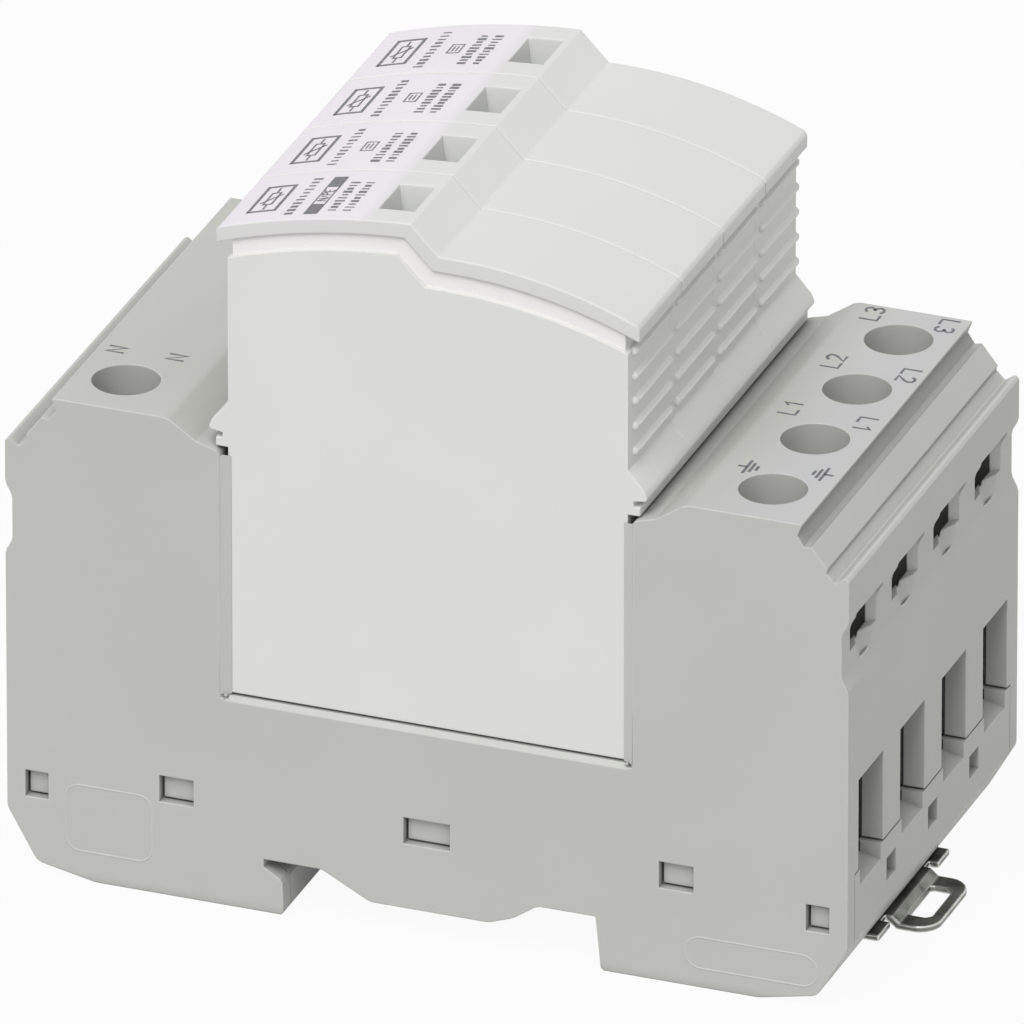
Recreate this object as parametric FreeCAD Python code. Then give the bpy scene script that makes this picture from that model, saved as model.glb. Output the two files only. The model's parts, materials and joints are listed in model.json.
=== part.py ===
"""Pluggable surge protective device for a 35 mm mounting rail.

Four plug modules stand side by side in one base: three with a varistor between a line
terminal and the common neutral bar, and one with a gas tube between neutral and earth.
Lengths are millimetres. X runs along the device, Y across the modules, Z up. The origin
lies over the middle of the rail, on the plane where the rail flanges bear.
"""
import FreeCAD, Part
import math
import os

Vec = FreeCAD.Vector

# How far cutting tools run past a surface, and how far joined pieces sink in
PAST = 1.0
SINK = 0.5

# Overall sizes of the base
MODULE_PITCH = 12.0
MODULES = 4
END_SKIN = 0.55
WIDTH = MODULES * MODULE_PITCH + 2 * END_SKIN
HALF_WIDTH = WIDTH / 2
LENGTH = 90.0
HALF_LENGTH = LENGTH / 2
SHOULDER_Z = 47.55
BOTTOM_Z = -5.9
SIDE_WALL = 2.0
END_WALL = 2.5
PARTITION = 2.2
FIT = 0.1
EDGE_CHAMFER = 0.5

# Well that the plugs stand in
SHOULDER_LENGTH = 23.4
WELL_HALF = HALF_LENGTH - SHOULDER_LENGTH
WELL_FLOOR_Z = 17.55
WELL_FLOOR = 1.8
WELL_WALL = 2.9
WELL_DRAFT = 0.3
WELL_CORNER = 0.4
LEDGE_Z = 44.75
LEDGE_RUN = 2.9
LEDGE_RISE = 0.7
LEDGE_ROUND = 1.0
SHOULDER_RUN = 6.0

# Marker grooves along the outer shoulder edges, as steps in from the end face
SHOULDER_INSET = 5.0
GROOVE_DEPTH = 2.3
GROOVE_RUN = 1.0
GROOVE_UNDER = 0.5
GROOVE_LIP = 1.3
STRIP_OUT = 2.3
STRIP_DROP = 4.45
STRIP_FOOT = 0.5
LIP_WIDTH = 0.4
LIP_INSET = 1.5
LIP_DROP = 0.8
LIP_Z = 42.4
SMALL_EDGE = 0.15
SOFT_EDGE = 0.3

# Recessed band round the end faces
BAND_TOP_Z = 37.4
BAND_BOTTOM_Z = 29.7
BAND_DEPTH = 0.75
BAND_BEVEL = 1.4

# Foot of the base and the rail channel
CHAMFER_Z = 1.05
CHAMFER_INSET = 3.2
CHAMFER_FOOT_Z = -4.6
CHAMFER_ROUND = 1.5
HEEL_INSET = 9.5
HEEL_ROUND = 3.0
RAIL_WIDTH = 35.0
RAIL_SHEET = 1.0
RAIL_PLAY = 0.3
HOOK_REACH = 2.0
HOOK_DEPTH = 0.9
LATCH_SIDE_PLAY = 0.35
SLOT_RIGHT = RAIL_WIDTH / 2 + RAIL_PLAY + LATCH_SIDE_PLAY
SLOT_LEFT = RAIL_WIDTH / 2 - FIT
SLOT_LEAN = 0.6
SEAT_WIDTH = 6.2
BOSS_RUN = 5.2
BOSS_DEPTH = 2.75
BOSS_KNEE = 1.8
HOOK_LEAN = 1.2

# Tray that closes the base from below
TRAY_RIM_Z = 8.7
SEAM = 0.25
TRAY_WALL = 1.2
TRAY_FLOOR = 2.0
BLOCK_FLOOR = 3.3
TRAY_BEVEL = 2.3
TRAY_BEVEL_RISE = 0.8
HOOK_BLOCK = 2.0
LATCH_ROOF_END = HALF_LENGTH - 17.0
RIB = 1.2
POST_LENGTH = 5.0

# Snap windows in the long sides and in the ends
END_WINDOW_INSET = 3.2
MID_WINDOW_INSET = 18.25
END_WINDOW_X = HALF_LENGTH - END_WINDOW_INSET
MID_WINDOW_X = HALF_LENGTH - MID_WINDOW_INSET
SIDE_WINDOWS = ((-END_WINDOW_X, 4.0, 2.5), (-MID_WINDOW_X, 5.95, 3.7), (0.1, 5.95, 5.0),
                (MID_WINDOW_X, 5.95, 3.7), (END_WINDOW_X, 4.0, 2.5))
WINDOW_HEIGHT = 2.95
WINDOW_PLAY = 0.25
HOOK_OUT = 1.3
END_WINDOW_WIDTH = 2.7
END_WINDOW_LOW = 3.5
END_WINDOW_HIGH = 6.05
FINGER = 1.2

# Terminals
TERMINAL_INSET = 10.5
TERMINAL_X = HALF_LENGTH - TERMINAL_INSET
ROOM_TOP_Z = 32.5
DRIVER_HOLE_R = 3.5
ENTRY_WIDTH = 7.1
ENTRY_TOP_Z = 18.7
NOTCH_TRIM = 0.5
RAMP_FOOT = 2.0
RAMP_TOP = 1.2
SLOT_WIDTH = 6.7
SLOT_LOW_Z = 33.2
SLOT_HIGH_Z = 37.6
SLOT_SHIFT = -0.9
SLOT_BEVEL = 0.9
SLOT_BEVEL_RUN = 0.9
LEAD_R = 2.3
LEAD_TIP_R = 0.4
LEAD_SHIFT = 0.7
BRIDGE_WALL = 0.9
BRIDGE_ROOM = 3.4
BRIDGE_ROOM_TOP = 0.7

# Clamp cage and screw
CAGE_LENGTH = 8.0
CAGE_PLAY = 0.3
CAGE_SIDE = 1.1
CAGE_FLOOR = 1.2
CAGE_FLOOR_Z = 7.7
CAGE_HEAD = 2.4
CAGE_GAP = 0.9
CAGE_CORNER = 0.8
CAGE_TRAVEL = 6.5
SCREW_R = 2.3
THREAD_PLAY = 0.05
HEAD_R = 3.1
HEAD_HEIGHT = 3.5
HEAD_GAP = 0.6
DRIVE_LONG = 4.8
DRIVE_SHORT = 3.2
DRIVE_WIDTH = 0.9
DRIVE_DEPTH = 1.6

# Busbars and contact jaws
BAR = 1.5
BAR_WIDTH = 6.4
BAR_Z = 5.2
TONGUE_Z = 18.5
RISER_GAP = 0.5
BLADE_INSET = 6.6
BLADE_SLOT_PLAY = 0.5
BLADE_X = WELL_HALF - BLADE_INSET
BEND = 0.8
BAR_END_PLAY = 0.3
JAW_LENGTH = 5.0
JAW_SHEET = 0.6
JAW_HALF = 2.6
JAW_RISE = 7.4
JAW_FLARE = 1.5
JAW_FLARE_OUT = 1.0
JAW_WAIST = 2.9
NEUTRAL_BAR_WIDTH = 6.0

# Plug modules
PLUG_GAP = 0.15
PLUG_HALF_Y = (MODULE_PITCH - PLUG_GAP) / 2
WELL_PLAY = 0.3
PLUG_HALF_X = WELL_HALF - WELL_PLAY
PLUG_LIFT = 0.25
PLUG_BASE_Z = WELL_FLOOR_Z + PLUG_LIFT
PLUG_WALL = 1.2
PLUG_FLOOR = 1.45
CAP_OVERHANG = 1.2
CAP_SKIN = 1.7
BAND = 1.9
BAND_STEP = 0.4
SPIGOT = 1.4
SPIGOT_WALL = 0.9
CAP_EDGE = 0.3
WINDOW_X = -4.4
WINDOW_LENGTH = 3.9
WINDOW_WIDTH = 6.0
FUNNEL_TAPER = 0.9
FUNNEL_SKIN = 0.7
GRIP_TOP_GAP = 3.0
GRIP_LOW_Z = 51.4
GRIP_PITCH = 2.77
GRIP_OUT = 0.35
GRIP_FOOT = 0.9
GRIP_FACE = 0.4
GRIP_MARGIN = 1.8
FLANGE_REACH = 2.0
FLANGE_TOP_Z = 49.95
FLANGE_Z = 47.65
FLANGE_LOW_Z = 46.85
FLANGE_EDGE = 0.4
NECK_REACH = 0.6
NECK_RISE = 0.2
COLLAR_REACH = 1.3
COLLAR_TOP_Z = 46.05
COLLAR_LOW_Z = 45.1

# Inside the plugs
BLADE = 1.0
BLADE_WIDTH = 5.5
BLADE_REACH = 8.3
BLADE_HEAD = 1.2
BLADE_HEAD_LENGTH = 8.0
BLADE_HEAD_WIDTH = 6.0
BLADE_TIP = 0.8
ELEMENT_PLAY = 3.1
ELEMENT_LENGTH = 2 * (PLUG_HALF_X - PLUG_WALL - ELEMENT_PLAY)
ELEMENT_Z = PLUG_BASE_Z + PLUG_FLOOR + BLADE_HEAD
VARISTOR_HEIGHT = 39.4
VARISTOR_THICK = 6.6
VARISTOR_CORNER = 3.0
ELEMENT_TOP_Z = ELEMENT_Z + VARISTOR_HEIGHT
TUBE_R = 4.1
TUBE_LENGTH = 16.0
TUBE_LIFT = 0.5
TUBE_LEAD = 4.0
FLAG_TRAVEL = 4.6
FLAG_SHEET = 1.0
FLAG_STAND = 6.9
FLAG_WIDTH = 6.6
FLAG_LEG = 1.6
FLAG_PLAY = 0.3
FLAG_Z = ELEMENT_TOP_Z + FLAG_PLAY + FLAG_STAND

# Top line of the plugs, from the space that the status flag needs
STEP_X = 1.25
STEP_Z = FLAG_Z + FLAG_SHEET + FLAG_PLAY + CAP_SKIN
STEP_RISE = 3.15
STEP_SLOPE = 45.0
CREST_X = -1.8
CREST_Z = STEP_Z + STEP_RISE
LEFT_FALL = 3.9
RIGHT_FALL = 4.1
LEFT_EAVE_Z = CREST_Z - LEFT_FALL
RIGHT_EAVE_Z = STEP_Z - RIGHT_FALL
GRIP_RIBS = 1 + int((RIGHT_EAVE_Z - GRIP_TOP_GAP - GRIP_LOW_Z) / GRIP_PITCH)
LEFT_BULGE = 0.75
RIGHT_BULGE = 1.2
CAP_HALF = PLUG_HALF_X + CAP_OVERHANG

# Foot latch
LATCH_SHEET = 0.7
LATCH_Z = -5.15
LATCH_TRAVEL = 3.5
LATCH_WING = 10.3
LATCH_TONGUE = 5.0
LATCH_INNER = 24.0
LATCH_BITE = 1.2
LATCH_SLIDE = 0.1
LATCH_PLAY = 0.3
WING_REST = 2.0
WING_TIP = 0.7
BEAK_PLAY = 0.25
BEAK_BEND = 3.0
BEAK_SLOPE = 1.7
BEAK_BEVEL = 0.6
BEND_SHIFT = 0.5
LOOP_STAND = 2.3
LOOP_REACH = HALF_LENGTH + LOOP_STAND
LOOP_HALF = 5.75
LOOP_CLEAR = 1.2
LOOP_CORNER = 2.4
LOOP_BAND = 1.25
LOOP_HOLE_HALF = 3.4
LOOP_LENGTH = 4.9
LOOP_ROOT = 3.0
JOGGLE_X = LOOP_REACH - LOOP_LENGTH
JOGGLE_RUN = 0.9
JOGGLE_SHIFT = 0.35

SHAPES = {}


def module_y(index):
    """Middle of module number index, counted from the front."""
    return (index - (MODULES - 1) / 2) * MODULE_PITCH


def boundary_y():
    """Places between neighbouring modules."""
    return [(module_y(i) + module_y(i + 1)) / 2 for i in range(MODULES - 1)]


def block(x0, x1, y0, y1, z0, z1):
    """Box between two corners given in any order along X."""
    low, high = min(x0, x1), max(x0, x1)
    return Part.makeBox(high - low, y1 - y0, z1 - z0, Vec(low, y0, z0))


def post_z(x, y, z0, z1, radius):
    """Upright cylinder."""
    return Part.makeCylinder(radius, z1 - z0, Vec(x, y, z0), Vec(0, 0, 1))


def outline_edges(points):
    """Edges of a closed outline; each point is a Vector with the radius of its corner.

    A negative value cuts the corner flat, that far from the corner on both sides.
    """
    count = len(points)
    corners = []
    for i in range(count):
        here, radius = points[i]
        to_last = (points[i - 1][0] - here).normalize()
        to_next = (points[(i + 1) % count][0] - here).normalize()
        half = to_last.getAngle(to_next) / 2
        run = radius / math.tan(half) if radius > 0 else -radius
        middle = None
        if radius > 0:
            inward = (to_last + to_next).normalize()
            middle = here + inward * (radius / math.sin(half) - radius)
        corners.append((here + to_last * run, middle, here + to_next * run))
    edges = []
    for i in range(count):
        start, middle, end = corners[i]
        if middle is not None:
            edges.append(Part.Arc(start, middle, end).toShape())
        elif (end - start).Length > 1e-6:
            edges.append(Part.LineSegment(start, end).toShape())
        following = corners[(i + 1) % count][0]
        if (following - end).Length > 1e-6:
            edges.append(Part.LineSegment(end, following).toShape())
    return edges


def slab(corners, run):
    """Solid swept along a run from an outline of (Vector, radius) corners."""
    return Part.Face(Part.Wire(outline_edges(corners))).extrude(run)


def slab_xz(points, y0, y1):
    """Solid with an outline of (x, z) or (x, z, radius) points, from y0 to y1."""
    return slab([(Vec(p[0], y0, p[1]), p[2] if len(p) > 2 else 0) for p in points], Vec(0, y1 - y0, 0))


def slab_yz(points, x0, x1):
    """Solid with an outline of (y, z) or (y, z, radius) points, from x0 to x1."""
    return slab([(Vec(x0, p[0], p[1]), p[2] if len(p) > 2 else 0) for p in points], Vec(x1 - x0, 0, 0))


def slab_xy(points, z0, z1):
    """Solid with an outline of (x, y) or (x, y, radius) points, from z0 to z1."""
    return slab([(Vec(p[0], p[1], z0), p[2] if len(p) > 2 else 0) for p in points], Vec(0, 0, z1 - z0))


def mirrored(points):
    """The same outline on the other side of the rail, running the other way."""
    return [(-p[0],) + tuple(p[1:]) for p in reversed(points)]


def fused(shapes):
    """One solid from several that overlap or touch."""
    return shapes[0].multiFuse(shapes[1:]).removeSplitter()


def cut_all(shape, tools):
    """The shape with every tool taken out of it."""
    return shape.cut(tools).removeSplitter()


def keep(name, shape):
    """Record a finished piece; a result of one solid is kept as that solid."""
    SHAPES[name] = shape.Solids[0] if len(shape.Solids) == 1 else shape


# Base housing

def shoulder_outline():
    """Right shoulder of the base, from the well floor out and down to the heel."""
    end = HALF_LENGTH
    groove = end - SHOULDER_INSET
    strip = end - STRIP_OUT
    strip_top = SHOULDER_Z - GROOVE_DEPTH
    strip_low = SHOULDER_Z - STRIP_DROP
    band = end - BAND_DEPTH
    return [
        (WELL_HALF, WELL_FLOOR_Z, -WELL_CORNER),
        (WELL_HALF + WELL_DRAFT, LEDGE_Z, LEDGE_ROUND),
        (WELL_HALF + LEDGE_RUN, LEDGE_Z + LEDGE_RISE, LEDGE_ROUND),
        (WELL_HALF + SHOULDER_RUN, SHOULDER_Z, -WELL_CORNER),
        (groove, SHOULDER_Z, -SMALL_EDGE),
        (groove - GROOVE_UNDER, SHOULDER_Z - GROOVE_LIP),
        (groove + GROOVE_UNDER / 2, strip_top - SMALL_EDGE),
        (groove + GROOVE_RUN, strip_top),
        (strip, strip_low),
        (strip - SMALL_EDGE, strip_low - STRIP_FOOT),
        (end - LIP_INSET, LIP_Z - LIP_DROP, -SMALL_EDGE),
        (end - LIP_WIDTH, LIP_Z, -SMALL_EDGE),
        (end, LIP_Z - LIP_WIDTH),
        (end, BAND_TOP_Z, -SOFT_EDGE),
        (band, BAND_TOP_Z - BAND_BEVEL, -SOFT_EDGE),
        (band, BAND_BOTTOM_Z + BAND_BEVEL, -SOFT_EDGE),
        (end, BAND_BOTTOM_Z, -SOFT_EDGE),
        (end, CHAMFER_Z, CHAMFER_ROUND),
        (end - CHAMFER_INSET, CHAMFER_FOOT_Z, CHAMFER_ROUND),
        (end - HEEL_INSET, BOTTOM_Z, HEEL_ROUND),
    ]


def base_outline():
    """Whole side view of the base, counted round from the right side of the well."""
    right = shoulder_outline()
    seat_right = SLOT_RIGHT - SEAT_WIDTH
    seat_left = SLOT_LEFT - SEAT_WIDTH
    hook = SLOT_LEFT - HOOK_REACH
    rail = [
        (SLOT_RIGHT + SLOT_LEAN, BOTTOM_Z, -SOFT_EDGE),
        (SLOT_RIGHT, 0.0, -SMALL_EDGE),
        (seat_right, 0.0, -SOFT_EDGE),
        (seat_right - BOSS_RUN / 2, -BOSS_KNEE, -SOFT_EDGE),
        (seat_right - BOSS_RUN, -BOSS_DEPTH, -SOFT_EDGE),
        (-seat_left + BOSS_RUN, -BOSS_DEPTH, -SOFT_EDGE),
        (-seat_left, 0.0, -SOFT_EDGE),
        (-SLOT_LEFT, 0.0),
        (-SLOT_LEFT, -HOOK_DEPTH),
        (-hook, -HOOK_DEPTH - HOOK_LEAN, -SOFT_EDGE),
        (-hook + SMALL_EDGE, BOTTOM_Z, -SOFT_EDGE),
    ]
    return right + rail + mirrored(right)


def well_bevels():
    """Wedges that bevel the well's edges on the two long side faces."""
    wedges = []
    bevel = EDGE_CHAMFER
    for face in (-1, 1):
        outer = face * HALF_WIDTH
        inner = face * (HALF_WIDTH - bevel)
        for side in (-1, 1):
            wall = side * WELL_HALF
            corners = [(wall, outer), (wall + side * bevel, outer), (wall, inner)]
            wedges.append(slab_xy(corners, WELL_FLOOR_Z - bevel / 2, LEDGE_Z + PAST))
        corners = [(outer, WELL_FLOOR_Z), (outer, WELL_FLOOR_Z - bevel), (inner, WELL_FLOOR_Z)]
        wedges.append(slab_yz(corners, -WELL_HALF, WELL_HALF))
    return wedges


def rooms():
    """Rooms inside the base: one low room and two terminal rooms in each module."""
    tools = []
    inner = HALF_LENGTH - END_WALL
    half = (MODULE_PITCH - PARTITION) / 2
    low_top = WELL_FLOOR_Z - WELL_FLOOR
    well_side = WELL_HALF + WELL_WALL
    for i in range(MODULES):
        low, high = module_y(i) - half, module_y(i) + half
        tools.append(block(-inner, inner, low, high, TRAY_RIM_Z - PAST, low_top))
        for side in (-1, 1):
            tools.append(block(side * well_side, side * inner, low, high, low_top - PAST, ROOM_TOP_Z))
    return tools


def blade_slots():
    """Slots in the well floor for the contact blades."""
    half_x = BLADE_WIDTH / 2 + BLADE_SLOT_PLAY
    half_y = BLADE / 2 + BLADE_SLOT_PLAY
    tools = []
    for i in range(MODULES):
        y = module_y(i)
        for x in (-BLADE_X, BLADE_X):
            tools.append(block(x - half_x, x + half_x, y - half_y, y + half_y,
                               WELL_FLOOR_Z - WELL_FLOOR - PAST, WELL_FLOOR_Z + PAST))
    return tools


def terminals():
    """Name, side and module of each terminal."""
    return [("n", -1, 0), ("pe", 1, 0), ("l1", 1, 1), ("l2", 1, 2), ("l3", 1, 3)]


def terminal_openings(side, y):
    """Screwdriver hole and wire entry of one terminal."""
    half = ENTRY_WIDTH / 2
    hole = post_z(side * TERMINAL_X, y, ROOM_TOP_Z - PAST, SHOULDER_Z + PAST, DRIVER_HOLE_R)
    entry = block(side * (HALF_LENGTH - END_WALL - PAST), side * (HALF_LENGTH + PAST),
                  y - half, y + half, TRAY_RIM_Z - PAST, ENTRY_TOP_Z)
    return [hole, entry]


def bridge_slot(side, y):
    """Slot from the recessed band into a room behind it, with a bevelled far side and a rounded lead-in."""
    middle = y + SLOT_SHIFT
    half = SLOT_WIDTH / 2
    mouth = side * (HALF_LENGTH - BAND_DEPTH)
    past = side * (HALF_LENGTH + PAST)
    inner = HALF_LENGTH - BAND_DEPTH - BRIDGE_WALL
    slot = block(side * (inner - SINK), past, middle - half, middle + half, SLOT_LOW_Z, SLOT_HIGH_Z)
    room_half = (MODULE_PITCH - PARTITION) / 2
    room = block(side * (inner - BRIDGE_ROOM), side * inner, y - room_half, y + room_half,
                 ROOM_TOP_Z - PAST, SLOT_HIGH_Z + BRIDGE_ROOM_TOP)
    far = middle + half
    bevel = slab_xy([(past, far - SINK), (past, far + SLOT_BEVEL), (mouth, far + SLOT_BEVEL),
                     (mouth - side * SLOT_BEVEL_RUN, far), (mouth - side * SLOT_BEVEL_RUN, far - SINK)],
                    SLOT_LOW_Z, SLOT_HIGH_Z)
    lead = Part.makeCone(LEAD_R, LEAD_TIP_R, BRIDGE_WALL,
                         Vec(mouth, middle + LEAD_SHIFT, SLOT_LOW_Z), Vec(-side, 0, 0))
    return [slot, room, bevel, lead]


def side_window(spec, play, y0, y1):
    """Block that fills one side window, smaller by a play all round."""
    x, z, width = spec
    half = width / 2 - play
    high = WINDOW_HEIGHT / 2 - play
    return block(x - half, x + half, y0, y1, z - high, z + high)


def end_window(side, y, play, x0, x1):
    """Block that fills one end window, smaller by a play all round."""
    half = END_WINDOW_WIDTH / 2 - play
    return block(side * x0, side * x1, y - half, y + half, END_WINDOW_LOW + play, END_WINDOW_HIGH - play)


def snap_finger(side, y):
    """Finger of the housing behind the tray's end wall, with its hook in the window."""
    outer = HALF_LENGTH - END_WALL - FIT
    half = END_WINDOW_WIDTH / 2 - WINDOW_PLAY
    finger = block(side * (outer - FINGER), side * outer, y - half, y + half,
                   END_WINDOW_LOW - SINK, TRAY_RIM_Z + SINK)
    return [finger, end_window(side, y, WINDOW_PLAY, outer - FIT, outer + HOOK_OUT)]


def make_shell():
    """Upper housing with its rooms, holes, entries, slots and snap windows."""
    reach = HALF_LENGTH + PAST
    inner_half = HALF_WIDTH - SIDE_WALL
    shell = slab_xz(base_outline(), -HALF_WIDTH, HALF_WIDTH)
    tools = [block(-reach, reach, -inner_half, inner_half, BOTTOM_Z - PAST, TRAY_RIM_Z)]
    tools += well_bevels() + rooms() + blade_slots()
    for _, side, index in terminals():
        tools += terminal_openings(side, module_y(index))
    for i in range(MODULES):
        tools += bridge_slot(1, module_y(i))
    for spec in SIDE_WINDOWS:
        tools.append(side_window(spec, 0, -HALF_WIDTH - PAST, HALF_WIDTH + PAST))
    shell = cut_all(shell, tools)
    fingers = []
    for side in (-1, 1):
        for y in boundary_y():
            fingers += snap_finger(side, y)
    keep("housing_shell", fused([shell] + fingers))


# Tray

def tray_zone(half_width):
    """Everything of the side view below the tray's rim, between two long sides."""
    reach = HALF_LENGTH + PAST
    whole = slab_xz(base_outline(), -half_width, half_width)
    return whole.common(block(-reach, reach, -half_width, half_width, BOTTOM_Z - PAST, TRAY_RIM_Z - SEAM))


def tray_room():
    """Inside outline of the tray."""
    inner = HALF_LENGTH - END_WALL
    low = BOTTOM_Z + BLOCK_FLOOR
    top = TRAY_RIM_Z + PAST
    bevel_x = inner - TRAY_BEVEL
    bevel_z = CHAMFER_Z + TRAY_BEVEL_RISE
    block_left = SLOT_LEFT + HOOK_BLOCK
    return [
        (-inner, top), (-inner, bevel_z), (-bevel_x, low), (-block_left, low), (-block_left, TRAY_FLOOR),
        (LATCH_ROOF_END, TRAY_FLOOR), (LATCH_ROOF_END, low), (bevel_x, low), (inner, bevel_z), (inner, top),
    ]


def latch_channel():
    """Room under the tray for the latch to slide in, with two lips that carry its wings."""
    low = LATCH_Z - LATCH_SLIDE
    high = LATCH_Z + LATCH_SHEET + LATCH_SLIDE
    reach = HALF_LENGTH + PAST
    start = LATCH_INNER - LATCH_PLAY
    wing = LATCH_WING + LATCH_PLAY
    lip = wing - WING_REST
    tongue = LATCH_TONGUE + LATCH_PLAY
    return [
        block(start, reach, -wing, wing, low, high),
        block(start, reach, -lip, lip, BOTTOM_Z - PAST, high),
        block(SLOT_RIGHT - PAST, LATCH_INNER + LATCH_TRAVEL, -tongue, tongue, low, -RAIL_SHEET),
    ]


def wire_notch(side, y):
    """Notch in the tray's end wall below a wire entry, with a ramp as its floor."""
    half = ENTRY_WIDTH / 2 - NOTCH_TRIM
    inner, outer = HALF_LENGTH - END_WALL - PAST, HALF_LENGTH + PAST
    foot, top = TRAY_RIM_Z - RAMP_FOOT, TRAY_RIM_Z + PAST
    outline = [(inner, top), (inner, TRAY_RIM_Z - RAMP_TOP), (HALF_LENGTH, foot), (outer, foot), (outer, top)]
    return slab_xz(outline if side > 0 else mirrored(outline), y - half, y + half)


def cage_relief(side, y):
    """Room in the tray's long wall for a clamp cage that stands beside it."""
    half_x = CAGE_LENGTH / 2 + CAGE_PLAY
    half_y = (MODULE_PITCH - PARTITION) / 2
    x = side * TERMINAL_X
    return block(x - half_x, x + half_x, y - half_y, y + half_y, CAGE_FLOOR_Z - CAGE_PLAY, TRAY_RIM_Z + PAST)


def make_tray():
    """Bottom tray with posts for the contacts, partitions and snap hooks."""
    half = HALF_WIDTH - SIDE_WALL - FIT
    room_half = half - TRAY_WALL
    tools = [slab_xz(tray_room(), -room_half, room_half)] + latch_channel()
    for _, side, index in terminals():
        tools += [wire_notch(side, module_y(index)), cage_relief(side, module_y(index))]
    for side in (-1, 1):
        for y in boundary_y():
            tools.append(end_window(side, y, 0, HALF_LENGTH - END_WALL - PAST, HALF_LENGTH + PAST))
    tray = cut_all(tray_zone(half), tools)
    rib_end = HALF_LENGTH - END_WALL - FIT - FINGER - WINDOW_PLAY
    rib_start = BLADE_X + JAW_LENGTH + PAST
    rib_low = BOTTOM_Z + BLOCK_FLOOR - SINK
    extras = []
    for y in boundary_y():
        extras.append(block(rib_start, rib_end, y - RIB / 2, y + RIB / 2, rib_low, TRAY_RIM_Z))
    for i in range(MODULES):
        y = module_y(i)
        for x in (-BLADE_X, BLADE_X):
            half_x = POST_LENGTH / 2
            extras.append(block(x - half_x, x + half_x, y - RIB, y + RIB, TRAY_FLOOR - SINK, BAR_Z))
    for spec in SIDE_WINDOWS:
        for side in (-1, 1):
            y0, y1 = sorted((side * (half - SINK), side * (half + HOOK_OUT)))
            extras.append(side_window(spec, WINDOW_PLAY, y0, y1))
    keep("base_tray", cut_all(fused([tray] + extras), latch_channel()))


# Foot latch

def make_latch():
    """Sheet metal latch: beak under the rail flange, winged slide and pull loop."""
    low, high = LATCH_Z, LATCH_Z + LATCH_SHEET
    loop_high = BOTTOM_Z + LATCH_SHEET
    tip = RAIL_WIDTH / 2 - LATCH_BITE
    beak_high = -RAIL_SHEET - BEAK_PLAY
    beak_low = beak_high - LATCH_SHEET
    bend = LATCH_INNER - BEAK_BEND
    rise = bend - BEAK_SLOPE
    tongue = slab_xz([
        (LATCH_INNER + PAST, low), (bend, low), (rise, beak_low), (tip, beak_low),
        (tip + BEAK_BEVEL, beak_high), (rise + BEND_SHIFT, beak_high), (bend + BEND_SHIFT, high),
        (LATCH_INNER + PAST, high)], -LATCH_TONGUE, LATCH_TONGUE)
    plate = block(LATCH_INNER, JOGGLE_X + WING_TIP, -LATCH_WING, LATCH_WING, low, high)
    clear = LOOP_HALF + LOOP_CLEAR
    notch = block(JOGGLE_X - LATCH_PLAY, JOGGLE_X + WING_TIP + PAST, -clear, clear, low - PAST, high + PAST)
    foot = JOGGLE_X + JOGGLE_RUN
    root = JOGGLE_X - LOOP_ROOT
    strip = slab_xz([
        (root, low), (JOGGLE_X, low), (foot, BOTTOM_Z), (LOOP_REACH, BOTTOM_Z),
        (LOOP_REACH, loop_high), (foot + JOGGLE_SHIFT, loop_high), (JOGGLE_X + JOGGLE_SHIFT, high),
        (root, high)], -LOOP_HALF, LOOP_HALF)
    ends = slab_xy([
        (root - PAST, -LOOP_HALF), (LOOP_REACH, -LOOP_HALF, LOOP_CORNER),
        (LOOP_REACH, LOOP_HALF, LOOP_CORNER), (root - PAST, LOOP_HALF)], BOTTOM_Z - PAST, high + PAST)
    hole_end = LOOP_REACH - LOOP_BAND
    hole = slab_xy([
        (foot + JOGGLE_SHIFT, -LOOP_HOLE_HALF, -SOFT_EDGE), (hole_end, -LOOP_HOLE_HALF, -BEND_SHIFT),
        (hole_end, LOOP_HOLE_HALF, -BEND_SHIFT), (foot + JOGGLE_SHIFT, LOOP_HOLE_HALF, -SOFT_EDGE)],
        BOTTOM_Z - PAST, high + PAST)
    keep("latch_foot", fused([tongue, plate.cut(notch), strip.common(ends).cut(hole)]))


# Terminals and current path

def bar_outline():
    """Side view of a right hand busbar: foot under the jaw, riser, and clamp tongue."""
    riser = WELL_HALF + WELL_WALL + RISER_GAP
    start = BLADE_X - JAW_LENGTH / 2 - SINK
    end = TERMINAL_X + CAGE_LENGTH / 2 - BAR_END_PLAY
    top = TONGUE_Z + BAR
    return [
        (start, BAR_Z), (riser + BAR, BAR_Z, -BEND), (riser + BAR, TONGUE_Z), (end, TONGUE_Z),
        (end, top), (riser, top, -BEND), (riser, BAR_Z + BAR), (start, BAR_Z + BAR),
    ]


def make_busbars():
    """Earth and line bars on the right, and the common neutral bar on the left."""
    half = BAR_WIDTH / 2
    for name, side, index in terminals():
        y = module_y(index)
        if side > 0:
            keep("busbar_" + name, slab_xz(bar_outline(), y - half, y + half))
            continue
        branch = slab_xz(mirrored(bar_outline()), y - half, y + half)
        low_x = -BLADE_X - NEUTRAL_BAR_WIDTH / 2
        rail = block(low_x, low_x + NEUTRAL_BAR_WIDTH, y - half, module_y(MODULES - 1) + half,
                     BAR_Z, BAR_Z + BAR)
        keep("busbar_" + name, fused([rail, branch]))


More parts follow.
